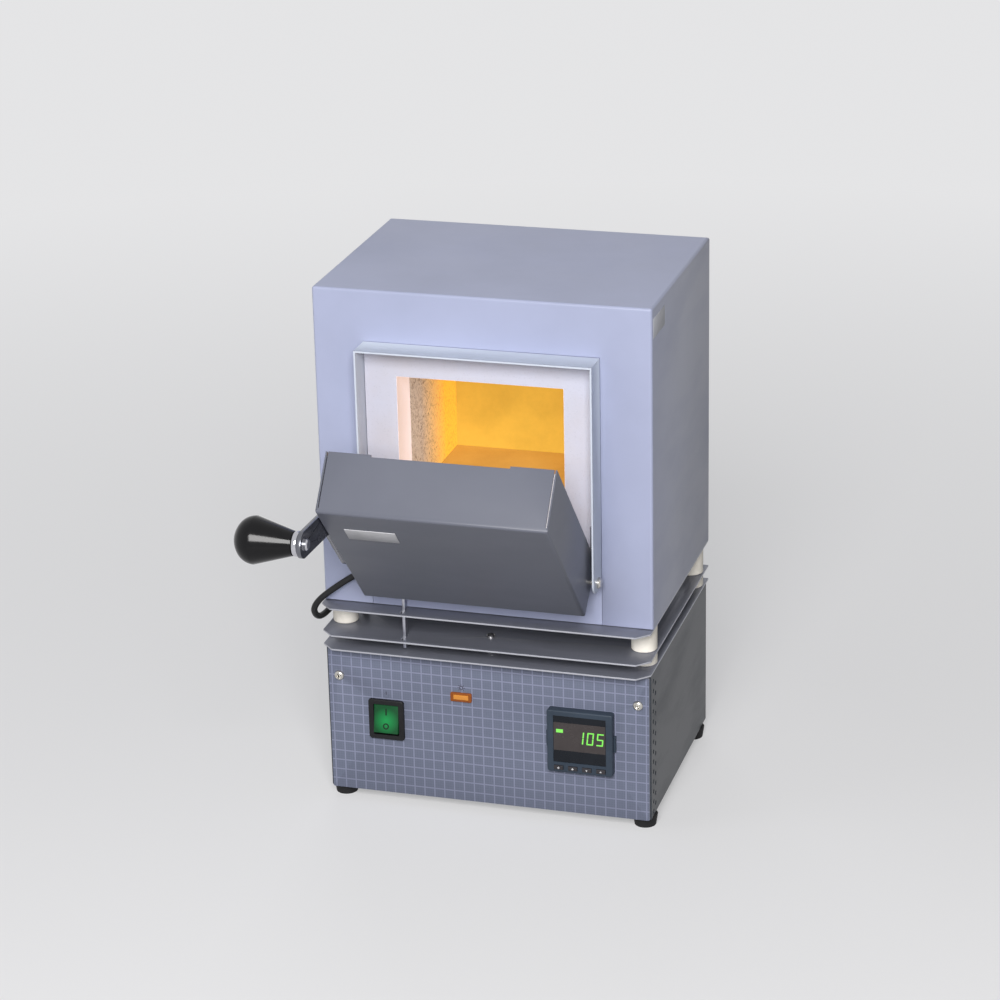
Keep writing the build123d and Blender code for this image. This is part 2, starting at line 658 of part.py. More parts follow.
# Power switch: a bezel with a snap-in body, and a rocker that tilts on its own axis
rx, rz = rocker_center
bx, bz = rocker_bezel
body_half = (bx / 2 - 2.0, bz / 2 - 2.0)
switch_depth = 22.0
tag_length = 8.0
panel -= panel_window(rocker_center, (2 * body_half[0] + 0.6, 2 * body_half[1] + 0.6))
bezel_front = panel_front - bezel_stand
switch_body = block(rx - bx / 2, rx + bx / 2, bezel_front, panel_front, rz - bz / 2, rz + bz / 2)
switch_body = fillet(switch_body.edges().filter_by(Axis.Y), 2.2)
switch_body = fillet(switch_body.faces().sort_by(Axis.Y)[0].edges(), 0.8)
switch_body += block(rx - body_half[0], rx + body_half[0], panel_front, panel_front + switch_depth,
                     rz - body_half[1], rz + body_half[1])
well_gap = 0.4
well_depth = 9.5
rocker_y = panel_front + 3.0
rocker_pivot_radius = 1.5
rocker_half = (rocker_size[0] / 2, rocker_size[1] / 2)
switch_body -= block(rx - rocker_half[0] - well_gap, rx + rocker_half[0] + well_gap,
                     bezel_front - 1, panel_front + well_depth,
                     rz - rocker_half[1] - 0.9, rz + rocker_half[1] + 0.9)
switch_body -= rod_x(rocker_pivot_radius + running_gap, rx - rocker_half[0] - 1.6, rx + rocker_half[0] + 1.6,
                     rocker_y, rz)
for k in (-1, 0, 1):
    switch_body += block(rx - 3.2, rx + 3.2, panel_front + switch_depth - 0.5,
                         panel_front + switch_depth + tag_length, rz + k * 8 - 0.4, rz + k * 8 + 0.4)
tilt = tan(radians(rocker_tilt))
edge_y = rocker_y - 5.4
rocker_outline = [(edge_y, rz), (edge_y - rocker_half[1] * tilt * 0.4, rz + rocker_half[1] - 0.6),
                  (rocker_y - 0.5, rz + rocker_half[1] - 0.3), (rocker_y + 2.2, rz + 2.5),
                  (rocker_y + 2.2, rz - 2.5), (rocker_y - 0.5, rz - rocker_half[1] + 0.3),
                  (edge_y - rocker_half[1] * tilt * 0.4, rz - rocker_half[1] + 0.6)]
rocker = side_slab(rocker_outline, rx - rocker_half[0], rx + rocker_half[0])
rocker += rod_x(rocker_pivot_radius, rx - rocker_half[0] - 1.4, rx + rocker_half[0] + 1.4, rocker_y, rz)
rocker = rocker.rotate(Axis((0, rocker_y, rz), (1, 0, 0)), -rocker_tilt)

# Cycle lamp: a narrow bezel with a raised lens
lx, lz = lamp_center
panel -= panel_window(lamp_center, (lamp_lens[0] + 1.2, lamp_lens[1] + 1.2))
lamp_ring = block(lx - lamp_bezel[0] / 2, lx + lamp_bezel[0] / 2, panel_front - 1.4, panel_front,
                  lz - lamp_bezel[1] / 2, lz + lamp_bezel[1] / 2)
lamp_ring = fillet(lamp_ring.edges().filter_by(Axis.Y), 0.8)
lamp_ring += block(lx - lamp_lens[0] / 2 - 0.5, lx + lamp_lens[0] / 2 + 0.5, panel_front, panel_front + 12,
                   lz - lamp_lens[1] / 2 - 0.5, lz + lamp_lens[1] / 2 + 0.5)
lamp_ring -= block(lx - lamp_lens[0] / 2, lx + lamp_lens[0] / 2, panel_front - 2, panel_front + 4,
                   lz - lamp_lens[1] / 2, lz + lamp_lens[1] / 2)
lens = block(lx - lamp_lens[0] / 2 + 0.1, lx + lamp_lens[0] / 2 - 0.1, panel_front - 2.0, panel_front + 4,
             lz - lamp_lens[1] / 2 + 0.1, lz + lamp_lens[1] / 2 - 0.1)
lens = fillet(lens.faces().sort_by(Axis.Y)[0].edges(), 0.6)

# Temperature controller: sleeve behind the panel, stepped front frame, window and push buttons
cx, cz = controller_center
half_face = controller_face / 2
half_cut = controller_cutout / 2
panel -= panel_window(controller_center, (controller_cutout + 0.4, controller_cutout + 0.4))
controller_front = panel_front - controller_stand
controller_back = panel_front + controller_length
controller_case = block(cx - half_cut + 0.2, cx + half_cut - 0.2, panel_front, controller_back,
                        cz - half_cut + 0.2, cz + half_cut - 0.2)
for k in (-1, 0, 1):
    for row in range(6):
        x = cx + 14 * k
        z = cz + 6 * (row - 2.5)
        controller_case += block(x - 2, x + 2, controller_back, controller_back + 4, z - 1, z + 1)
front_frame = block(cx - half_face, cx + half_face, controller_front, panel_front,
                    cz - half_face, cz + half_face)
front_frame = fillet(front_frame.edges().filter_by(Axis.Y), 2.0)
front_frame = fillet(front_frame.faces().sort_by(Axis.Y)[0].edges(), 1.2)
window_z = cz + window_above_center
recess = 1.4
window_x = window_size[0] / 2
front_frame -= block(cx - window_x, cx + window_x, controller_front - 1, controller_front + recess,
                     window_z - window_size[1] / 2, window_z + window_size[1] / 2)
window = block(cx - window_x + 0.1, cx + window_x - 0.1, controller_front + 0.4, controller_front + recess,
               window_z - window_size[1] / 2 + 0.1, window_z + window_size[1] / 2 - 0.1)
for side in (-1, 1):
    front_frame += block(cx + side * half_face, cx + side * (half_face + 1.3), panel_front - 2.6, panel_front,
                         cz - 6, cz + 6)
button_z = cz - button_below_center
button_back = controller_front + 4.0
buttons = {}
for k in range(button_count):
    x = cx + (k - (button_count - 1) / 2) * button_pitch
    front_frame -= block(x - button_size[0] / 2 - 0.2, x + button_size[0] / 2 + 0.2, controller_front - 1,
                         button_back + button_travel + 0.2, button_z - button_size[1] / 2 - 0.2,
                         button_z + button_size[1] / 2 + 0.2)
    cap = block(x - button_size[0] / 2, x + button_size[0] / 2, controller_front - 1.0, button_back,
                button_z - button_size[1] / 2, button_z + button_size[1] / 2)
    buttons[f"controller_button_{k + 1}"] = fillet(cap.faces().sort_by(Axis.Y)[0].edges(), 0.5)

# Rear panel of the cabinet with cooling slots and the gland for the mains cord
cabinet_rear_y = shell_rear
gland_x = -70.0
gland_above_floor = 32.0
gland_z = cabinet_bottom + gland_above_floor
gland_bore = 4.2
rear_face = cabinet_rear_y + panel_thickness
cabinet_rear = block(-panel_x, panel_x, cabinet_rear_y, rear_face, cabinet_bottom, shell_high - slit)
for row in range(5):
    for column in range(3):
        x = 24 + column * (slot_length + 6)
        z = cabinet_bottom + 30 + row * slot_pitch
        cabinet_rear -= block(x - slot_length / 2, x + slot_length / 2, cabinet_rear_y - 1, rear_face + 1,
                              z, z + slot_height)
cabinet_rear -= rod_y(7.2, cabinet_rear_y - 1, rear_face + 1, gland_x, gland_z)
gland = rod_y(11.0, rear_face, rear_face + 5.0, gland_x, gland_z)
gland += rod_y(9.0, rear_face + 5.0, rear_face + 13.0, gland_x, gland_z)
gland += rod_y(7.0, cabinet_rear_y - 9.0, rear_face, gland_x, gland_z)
gland += rod_y(9.5, cabinet_rear_y - 5.0, cabinet_rear_y, gland_x, gland_z)
gland = chamfer(gland.faces().sort_by(Axis.Y)[-1].edges(), 1.6)
gland -= rod_y(gland_bore, cabinet_rear_y - 10, rear_face + 14, gland_x, gland_z)
for side in (-1, 1):
    for z in (cabinet_bottom + 14.0, shell_high - 14.0):
        x = side * (panel_x - panel_screw_inset)
        cabinet_rear -= rod_y(1.95, cabinet_rear_y - 1, rear_face + 1, x, z)
        cabinet -= rod_y(1.75 + running_gap, shell_rear - sheet - 1, shell_rear + 1, x, z)
        rear_screws.append(pan_screw((x, rear_face, z), (0, -1, 0), *rear_screw_head, rear_screw_radius,
                                     rear_screw_length))

# Power parts on the cabinet floor: relay on its heat plate and the terminal block
floor_z = shell_low + sheet
relay_size = (58.0, 44.0, 26.0)
heat_plate = (60.0, 50.0, 4.0)
relay_y = (shell_front + shell_rear) / 2 + 11.3
relay_stud = (20.0, 15.0, 4.0, 2.0)
relay_top = floor_z + relay_size[2]
relay = Pos(0, relay_y, floor_z + relay_size[2] / 2) * Box(*relay_size)
relay = fillet(relay.edges().filter_by(Axis.Z), 2.0)
relay += Pos(0, relay_y, floor_z + heat_plate[2] / 2) * Box(*heat_plate)
for x in (-relay_stud[0], relay_stud[0]):
    for y in (relay_y - relay_stud[1], relay_y + relay_stud[1]):
        relay += rod_z(relay_stud[2], relay_top, relay_top + relay_stud[3], x, y)
terminal_size = (44.0, 22.0, 12.0)
terminal_ways = 4
barrier = (1.6, 5.0)
terminal_top = floor_z + terminal_size[2]
terminal_y = (relay_y - terminal_size[1] / 2, relay_y + terminal_size[1] / 2)
terminal_block = block(gland_x - terminal_size[0] / 2, gland_x + terminal_size[0] / 2, *terminal_y,
                       floor_z, terminal_top)
for k in range(terminal_ways + 1):
    x = gland_x + (k / terminal_ways - 0.5) * (terminal_size[0] - barrier[0])
    terminal_block += block(x - barrier[0] / 2, x + barrier[0] / 2, *terminal_y,
                            terminal_top, terminal_top + barrier[1])

# Rubber feet with the screws that hold them
foot_x = cabinet_x - foot_edge
foot_rear = shell_rear - foot_front + shell_front
feet = []
foot_screws = []
for x in (-foot_x, foot_x):
    for y in (foot_front + shell_front, foot_rear):
        foot = Pos(x, y, foot_height / 2) * Cone(foot_radius - 1.2, foot_radius, foot_height)
        foot -= rod_z(4.2, -1, 3.6, x, y)
        feet.append(foot - rod_z(1.75 + running_gap, 0, foot_height + 1, x, y))
        cabinet -= rod_z(1.75 + running_gap, shell_low - 1, shell_low + sheet + 1, x, y)
        foot_screws.append(pan_screw((x, y, 3.6), (0, 0, 1), 3.6, 2.2, 1.75, foot_height + 2.0))

# Black lead: out of the casing front beside the door, round the base plate's corner and into the tray
# Its points are measured from the base plate's left edge, the casing's front and the base plate's underside.
lead_radius = 2.3
lead_route = [
    (28.5, -5.2, 26.6), (21.9, -6.6, 22.3), (14.9, -8.0, 17.6), (7.9, -9.2, 12.4), (0.1, -11.2, 6.0),
    (-5.1, -10.6, -1.6), (-5.9, -5.4, -9.0), (-5.5, 2.6, -13.8), (-4.5, 11.4, -14.8), (-3.5, 20.8, -14.0),
    (1.3, 29.2, -12.8), (8.7, 33.4, -11.8), (14.9, 34.4, -12.8), (17.5, 34.8, -15.8), (17.5, 34.8, -18.9),
]
lead_points = [Vector(x - casing_x, y, z + base_low) for x, y, z in lead_route]


def lead_radii(points):
    """Radius of the largest arc at each inner point of the route."""
    radii = []
    for before, at, after in zip(points, points[1:], points[2:]):
        a, b = at - before, after - at
        turn = radians(a.get_angle(b))
        radii.append(0.45 * min(a.length, b.length) / tan(turn / 2))
    return radii


radii = lead_radii(lead_points)
print("lead radii", [round(r, 1) for r in radii])
lead_path = FilletPolyline(*lead_points, radius=radii)
lead_start = lead_points[0]
start_direction = lead_points[1] - lead_start
lead = sweep(Plane(origin=lead_start, z_dir=start_direction) * Circle(lead_radius), path=lead_path)
print("lead length", round(lead_path.length, 1), "volume ratio",
      round(lead.volume / (pi * lead_radius ** 2 * lead_path.length), 4))

# Glands at both ends of the lead: a moulded block with a collet on the casing, and a grommet in the tray
gland_width = 11.0
gland_height = 12.2
gland_depth = 9.6
gland_left = lead_start.X - 4.6
gland_low = lead_start.Z - 6.8
collet_wall = 1.1
upper_gland = block(gland_left, gland_left + gland_width, -gland_depth, 0,
                    gland_low, gland_low + gland_height)
upper_gland = fillet(upper_gland.edges().filter_by(Axis.Y), 2.4)
upper_gland = fillet(upper_gland.faces().sort_by(Axis.Y)[0].edges(), 1.4)
face_plane = Plane(origin=lead_start, z_dir=start_direction)
collet = face_plane * Cylinder(lead_radius + collet_wall, 4.0, align=(Align.CENTER, Align.CENTER, Align.MAX))
upper_gland -= face_plane * Cylinder(20, 30, align=(Align.CENTER, Align.CENTER, Align.MIN))
upper_gland += collet
lead_end = lead_points[-1]
grommet_radius = lead_radius + 0.9
grommet_flange = lead_radius + 2.2
lower_grommet = rod_z(grommet_flange, tray_high, lead_end.Z, lead_end.X, lead_end.Y)
lower_grommet += rod_z(grommet_radius, tray_low - 1.5, tray_high, lead_end.X, lead_end.Y)
lower_grommet += rod_z(grommet_flange, tray_low - 1.8, tray_low, lead_end.X, lead_end.Y)
tray -= rod_z(grommet_radius + 0.2, tray_low - 1, tray_high + 1, lead_end.X, lead_end.Y)

# Every node, in its place
nodes["furnace_casing"] = casing
nodes["furnace_rear_panel"] = rear_panel
nodes["rear_panel_screws"] = rear_screws
nodes["furnace_base_plate"] = base_plate
nodes["heat_shield_tray"] = tray
nodes["tray_screws"] = tray_screws
nodes["tray_standoffs"] = tray_standoffs
nodes["upper_spacers"] = upper_spacers
nodes["lower_spacers"] = lower_spacers
nodes["tie_bolts"] = tie_bolts
nodes["tie_nuts"] = tie_nuts
nodes["wire_conduits"] = [conduit_upper, conduit_lower]
nodes["door_collar"] = collar
nodes["front_board"] = front_board
nodes.update(heating_plates)
nodes["heating_coils"] = coils
nodes["chamber_roof"] = chamber_roof
nodes["hearth_plate"] = hearth_plate
nodes["chamber_back"] = back_block
nodes["insulation_top"] = insulation_top
nodes["insulation_bottom"] = insulation_bottom
nodes["insulation_sides"] = insulation_sides
nodes["insulation_rear"] = insulation_rear
nodes["thermocouple"] = thermocouple
nodes["hinge_pins"] = hinge_pins
nodes["stop_screws"] = stop_screws
nodes["door_shell"] = opened(shell)
nodes["door_insulation"] = opened(door_block)
nodes["handle_arm"] = opened(handle_arm)
nodes["arm_screws"] = [opened(s) for s in arm_screws]
nodes["handle_ferrule"] = opened(ferrule)
nodes["handle_knob"] = opened(knob)
nodes["handle_screw"] = opened(knob_screw)
nodes["interlock_strap"] = strap
nodes["door_switch"] = door_switch
nodes["switch_plunger"] = plunger
nodes["cabinet_shell"] = cabinet
nodes["cabinet_top_plate"] = cabinet_top
nodes["cabinet_rear_panel"] = cabinet_rear
nodes["cord_gland"] = gland
nodes["heater_relay"] = relay
nodes["terminal_block"] = terminal_block
nodes["control_panel"] = panel
nodes["panel_screws"] = panel_screws
nodes["power_switch_body"] = switch_body
nodes["power_rocker"] = rocker
nodes["lamp_bezel"] = lamp_ring
nodes["lamp_lens"] = lens
nodes["controller_case"] = controller_case
nodes["controller_frame"] = front_frame
nodes["controller_window"] = window
nodes.update(buttons)
nodes["rubber_feet"] = feet
nodes["foot_screws"] = foot_screws
nodes["lead"] = lead
nodes["lead_glands"] = [upper_gland, lower_grommet]

# The origin goes to the bottom centre of the bounding box, which these outermost faces set
knob_open_y = opened_point(knob_y, knob_z)[0]
right_most = max(casing_x, foot_x + foot_radius)
front_most = knob_open_y - knob_radius
rear_most = rear_face + 13.0
origin_shift = Pos(-(knob_end + right_most) / 2, -(front_most + rear_most) / 2, 0)
print("origin shift", origin_shift.position, "nodes", len(nodes))
print("hinge", hinge_y, hinge_z, "stop", stop_y, stop_z, "knob", knob_open_y)

os.makedirs("parts", exist_ok=True)
for name, piece in nodes.items():
    solids = []
    for item in (piece if isinstance(piece, list) else [piece]):
        solids += [origin_shift * solid for solid in item.solids()]
    whole = solids[0] if len(solids) == 1 else Compound(children=solids)
    export_step(whole, f"parts/{name}.step")
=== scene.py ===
import logging
from dataclasses import dataclass, field
from enum import Enum
from math import cos, pi, radians, sin
from typing import Callable, ClassVar, Iterable, Optional, Sequence

import bmesh
import bpy
from mathutils import Matrix, Vector


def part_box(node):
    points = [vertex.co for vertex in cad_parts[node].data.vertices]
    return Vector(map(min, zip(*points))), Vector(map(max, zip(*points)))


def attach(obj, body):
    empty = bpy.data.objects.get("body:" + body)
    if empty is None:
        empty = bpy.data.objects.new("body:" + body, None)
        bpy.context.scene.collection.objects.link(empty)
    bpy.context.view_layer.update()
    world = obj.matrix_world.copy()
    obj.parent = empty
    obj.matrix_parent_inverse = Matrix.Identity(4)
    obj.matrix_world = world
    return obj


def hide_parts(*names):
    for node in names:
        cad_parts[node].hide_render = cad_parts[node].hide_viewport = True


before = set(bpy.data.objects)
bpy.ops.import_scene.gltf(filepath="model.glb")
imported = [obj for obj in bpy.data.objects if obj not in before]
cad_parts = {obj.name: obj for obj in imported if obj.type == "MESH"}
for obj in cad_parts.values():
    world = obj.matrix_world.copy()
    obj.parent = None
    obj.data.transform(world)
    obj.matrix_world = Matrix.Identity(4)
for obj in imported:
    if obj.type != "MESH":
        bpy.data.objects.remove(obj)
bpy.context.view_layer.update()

log = logging.getLogger("muffle_furnace")
logging.basicConfig(level=logging.INFO, format="%(name)s: %(message)s")

MM = 0.001
Point = tuple[float, float, float]
Colour = tuple[float, float, float]
Tree = bpy.types.NodeTree
Node = bpy.types.Node
Socket = bpy.types.NodeSocket
BMesh = bmesh.types.BMesh


class Body(Enum):
    """The rigid bodies that pieces ride on."""

    FURNACE = "furnace"
    DOOR = "door"
    ROCKER = "rocker"


class Bend(Enum):
    """How much the edges of a part are rounded, in millimetres."""

    NONE = 0.0
    CRISP = 0.12
    SHEET = 0.25
    MOULDED = 0.5


# Shared frame: casing millimetres to scene metres

@dataclass(frozen=True)
class Datum:
    """The casing's own frame: X from its middle, Y from its front plane, Z from the bench."""

    x: float
    y: float

    @classmethod
    def of_casing(cls) -> "Datum":
        """Reads the frame from the casing's box."""
        low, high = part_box("furnace_casing")
        return cls((low[0] + high[0]) / 2, low[1])

    def at(self, x: float, y: float, z: float) -> Vector:
        """A point of the casing's frame in scene metres.

        Args:
            x: Millimetres to the right of the casing's middle.
            y: Millimetres behind the casing's front plane.
            z: Millimetres above the bench.

        Returns:
            The point in metres.
        """
        return Vector((self.x + x * MM, self.y + y * MM, z * MM))


DATUM = Datum.of_casing()
DOOR_ANGLE = radians(43.0)
HINGE = (3.5, 209.8)
MOUTH_HALF = 59.5
MOUTH_LOW = 229.8
MOUTH_HIGH = 327.8
GRID_PITCH = 0.0075


def tinted(colour: Colour, factor: float, lift: float = 0.0) -> Colour:
    """A colour made darker or lighter.

    Args:
        colour: The colour.
        factor: What each channel is multiplied by.
        lift: What is added to each channel.

    Returns:
        The new colour, held below one.
    """
    red, green, blue = (min(1.0, channel * factor + lift) for channel in colour)
    return red, green, blue


# Shader graphs

class Graph:
    """A node tree with short calls to add and join nodes."""

    def __init__(self, tree: Tree) -> None:
        """Keeps the tree that is worked on."""
        self.tree = tree

    @classmethod
    def of(cls, owner: bpy.types.ID) -> "Graph":
        """The emptied node tree of a material or a world."""
        owner.use_nodes = True
        owner.node_tree.nodes.clear()
        return cls(owner.node_tree)

    def add(self, kind: str, **values: object) -> Node:
        """Adds a node and sets its properties and unlinked sockets.

        Args:
            kind: The node's type name.
            values: Properties by attribute name, or socket values with spaces written as underscores.

        Returns:
            The new node.
        """
        node = self.tree.nodes.new(kind)
        for name, value in values.items():
            if hasattr(node, name):
                setattr(node, name, value)
            else:
                node.inputs[name.replace("_", " ")].default_value = value
        return node

    def join(self, out: Socket, into: Socket) -> None:
        """Links two sockets."""
        self.tree.links.new(out, into)

    def feed(self, value: object, into: Socket) -> None:
        """Links a socket to an input, or sets the input to a number or a colour."""
        if isinstance(value, Socket):
            self.join(value, into)
        else:
            into.default_value = (*value, 1.0) if isinstance(value, tuple) else value

    def math(self, operation: str, a: object, b: object = 0.0, c: object = 0.0) -> Socket:
        """A Math node whose inputs are numbers or sockets.

        Args:
            operation: The operation's name.
            a: First input.
            b: Second input.
            c: Third input.

        Returns:
            The result's socket.
        """
        node = self.add("ShaderNodeMath", operation=operation)
        for slot, value in zip(node.inputs, (a, b, c)):
            self.feed(value, slot)
        return node.outputs[0]

    def mix(self, factor: object, a: object, b: object) -> Socket:
        """A colour mix of two colours or sockets.

        Args:
            factor: Share of the second colour, a number or a socket.
            a: First colour.
            b: Second colour.

        Returns:
            The mixed colour's socket.
        """
        node = self.add("ShaderNodeMix", data_type="RGBA")
        for slot, value in ((0, factor), (6, a), (7, b)):
            self.feed(value, node.inputs[slot])
        return node.outputs[2]

    def ramp(self, value: object, low: float, high: float, to_low: float = 0.0,
             to_high: float = 1.0) -> Socket:
        """Maps a value from one range to another, held at the ends.

        Args:
            value: The socket that is mapped.
            low: Where the range starts.
            high: Where the range ends.
            to_low: Result at the start.
            to_high: Result at the end.

        Returns:
            The mapped value's socket.
        """
        node = self.add("ShaderNodeMapRange")
        self.join(value, node.inputs["Value"])
        for name, number in (("From Min", low), ("From Max", high), ("To Min", to_low), ("To Max", to_high)):
            node.inputs[name].default_value = number
        return node.outputs["Result"]

    def noise(self, vector: object, scale: float, detail: float = 2.0, rough: float = 0.5) -> Socket:
        """A noise value over a vector socket.

        Args:
            vector: Coordinates.
            scale: Cells per metre.
            detail: Octaves.
            rough: Strength of the finer octaves.

        Returns:
            The noise's value socket.
        """
        node = self.add("ShaderNodeTexNoise", Scale=scale, Detail=detail, Roughness=rough)
        self.join(vector, node.inputs["Vector"])
        return node.outputs["Fac"]

    def stretched(self, vector: object, scale: Point) -> Socket:
        """Coordinates scaled unevenly.

        Args:
            vector: Coordinates.
            scale: Factor along each axis.

        Returns:
            The scaled coordinates.
        """
        node = self.add("ShaderNodeMapping")
        self.join(vector, node.inputs["Vector"])
        node.inputs["Scale"].default_value = scale
        return node.outputs["Vector"]

    def split(self, vector: object) -> Node:
        """A node that gives a vector's X, Y and Z."""
        node = self.add("ShaderNodeSeparateXYZ")
        self.join(vector, node.inputs[0])
        return node

    def blend(self, factor: Socket, first: Node, second: Node) -> Node:
        """A mix of two shaders.

        Args:
            factor: Share of the second shader.
            first: First shader's node.
            second: Second shader's node.

        Returns:
            The mix's node.
        """
        node = self.add("ShaderNodeMixShader")
        self.join(factor, node.inputs[0])
        self.join(first.outputs[0], node.inputs[1])
        self.join(second.outputs[0], node.inputs[2])
        return node

    def seen(self) -> Socket:
        """One for rays that the camera, a reflection or a clear piece sends out, and zero for light."""
        path = self.add("ShaderNodeLightPath")
        mirrored = self.math("MAXIMUM", path.outputs["Is Glossy Ray"], path.outputs["Is Transmission Ray"])
        return self.math("MAXIMUM", path.outputs["Is Camera Ray"], mirrored)


def new_group(name: str, outputs: Sequence[str],
              extra: Optional[tuple[str, float]] = None) -> tuple[Tree, Graph, Node, Node]:
    """Starts a shader node group.

    Args:
        name: The group's name.
        outputs: Names of the value outputs.
        extra: Name and default of a value input beside the coordinates, if there is one.

    Returns:
        The tree, its graph, and its input and output nodes.
    """
    tree = bpy.data.node_groups.new(name, "ShaderNodeTree")
    tree.interface.new_socket("Vector", in_out="INPUT", socket_type="NodeSocketVector")
    if extra:
        socket = tree.interface.new_socket(extra[0], in_out="INPUT", socket_type="NodeSocketFloat")
        socket.default_value = extra[1]
    for label in outputs:
        tree.interface.new_socket(label, in_out="OUTPUT", socket_type="NodeSocketFloat")
    graph = Graph(tree)
    return tree, graph, graph.add("NodeGroupInput"), graph.add("NodeGroupOutput")


def powder_group() -> Tree:
    """Powder coat: a fine orange-peel height and a slow tone drift.

    Returns:
        The node group.
    """
    tree, g, given, out = new_group("powder_coat", ["Height", "Drift"], ("Size", 1.0))
    sized = g.add("ShaderNodeVectorMath", operation="SCALE")
    g.join(given.outputs["Vector"], sized.inputs[0])
    g.join(given.outputs["Size"], sized.inputs["Scale"])
    peel = g.noise(sized.outputs[0], 900.0, 2.0, 0.4)
    grit = g.noise(sized.outputs[0], 3200.0, 1.0, 0.5)
    g.join(g.math("MULTIPLY_ADD", grit, 0.35, peel), out.inputs["Height"])
    drift = g.noise(sized.outputs[0], 11.0, 4.0, 0.6)
    g.join(g.ramp(drift, 0.3, 0.7), out.inputs["Drift"])
    return tree


def brushed_group() -> Tree:
    """Brushed metal: fine streaks along one direction and broad smears.

    Returns:
        The node group.
    """
    tree, g, given, out = new_group("brushed_metal", ["Streaks", "Smears"])
    fine = g.noise(g.stretched(given.outputs["Vector"], (6.0, 1800.0, 1800.0)), 1.0, 3.0, 0.6)
    broad = g.noise(g.stretched(given.outputs["Vector"], (3.0, 90.0, 90.0)), 1.0, 3.0, 0.5)
    g.join(g.ramp(fine, 0.3, 0.7), out.inputs["Streaks"])
    g.join(g.ramp(broad, 0.35, 0.65), out.inputs["Smears"])
    return tree


def fibre_group() -> Tree:
    """Pressed ceramic fibre: painted shade in small hollows, short fibres and soft staining.

    Returns:
        The node group.
    """
    tree, g, given, out = new_group("ceramic_fibre", ["Height", "PitShade", "Stain"])
    lumps = g.noise(given.outputs["Vector"], 260.0, 5.0, 0.65)
    fibres = g.noise(g.stretched(given.outputs["Vector"], (300.0, 1400.0, 900.0)), 1.0, 4.0, 0.6)
    cells = g.add("ShaderNodeTexVoronoi", Scale=420.0)
    g.join(given.outputs["Vector"], cells.inputs["Vector"])
    # painted shade: small round spots that darken the colour, standing for shade in hollows of the board
    pit_shade = g.ramp(cells.outputs["Distance"], 0.05, 0.28, 1.0, 0.0)
    g.join(g.math("MULTIPLY_ADD", fibres, 0.5, lumps), out.inputs["Height"])
    g.join(pit_shade, out.inputs["PitShade"])
    g.join(g.ramp(g.noise(given.outputs["Vector"], 22.0, 5.0, 0.6), 0.35, 0.7), out.inputs["Stain"])
    return tree


def print_group() -> Tree:
    """A printed square grid: strong lines at one pitch and faint lines between them.

    Returns:
        The node group.
    """
    tree, g, given, out = new_group("square_grid", ["Lines", "Fine"], ("Pitch", GRID_PITCH))
    parts = g.split(given.outputs["Vector"])

    def lines(axis: str, split: float, width: float) -> Socket:
        """Mask of the lines across one axis."""
        turns = g.math("DIVIDE", parts.outputs[axis], g.math("DIVIDE", given.outputs["Pitch"], split))
        offset = g.math("ABSOLUTE", g.math("SUBTRACT", g.math("FRACT", turns), 0.5))
        return g.ramp(offset, 0.5 - width, 0.5 - width * 0.45)

    strong = g.math("MAXIMUM", lines("X", 1.0, 0.085), lines("Z", 1.0, 0.085))
    faint = g.math("MAXIMUM", lines("X", 4.0, 0.16), lines("Z", 4.0, 0.16))
    g.join(strong, out.inputs["Lines"])
    g.join(faint, out.inputs["Fine"])
    return tree


GROUPS: dict[str, Tree] = {}


def shared(name: str) -> Tree:
    """One of the shared node groups, built the first time it is asked for.

    Args:
        name: powder, brushed, fibre or print.

    Returns:
        The node group.
    """
    makers: dict[str, Callable[[], Tree]] = {
        "powder": powder_group, "brushed": brushed_group, "fibre": fibre_group, "print": print_group}
    if name not in GROUPS:
        GROUPS[name] = makers[name]()
    return GROUPS[name]


# Finishes

class Surface(Graph):
    """A material's graph: a Principled shader over object coordinates."""

    def __init__(self, tree: Tree) -> None:
        """Adds the shader, the output and the coordinates."""
        super().__init__(tree)
        self.shader = self.add("ShaderNodeBsdfPrincipled")
        out = self.add("ShaderNodeOutputMaterial")
        self.join(self.shader.outputs["BSDF"], out.inputs["Surface"])
        coords = self.add("ShaderNodeTexCoord")
        self.place = coords.outputs["Object"]
        self.normal = coords.outputs["Normal"]

    def paint(self, tone: Socket) -> None:
        """Joins a colour to the base colour."""
        self.join(tone, self.shader.inputs["Base Color"])

    def gloss(self, roughness: Socket) -> None:
        """Joins a value to the roughness."""
        self.join(roughness, self.shader.inputs["Roughness"])

    def emit(self, light: Socket, strength: float) -> None:
        """Joins a colour to the emission and sets its strength."""
        self.join(light, self.shader.inputs["Emission Color"])
        self.shader.inputs["Emission Strength"].default_value = strength

    def group(self, name: str) -> Node:
        """Places a shared group over object coordinates."""
        node = self.add("ShaderNodeGroup", node_tree=shared(name))
        self.join(self.place, node.inputs["Vector"])
        return node

    def bump(self, height: Socket, depth_mm: float, strength: float) -> None:
        """Joins a height to the shader's normal.

        Args:
            height: The height's socket.
            depth_mm: Millimetres between its lowest and highest value.
            strength: Share of the effect.
        """
        node = self.add("ShaderNodeBump", Strength=strength, Distance=depth_mm * MM)
        self.join(height, node.inputs["Height"])
        self.join(node.outputs["Normal"], self.shader.inputs["Normal"])


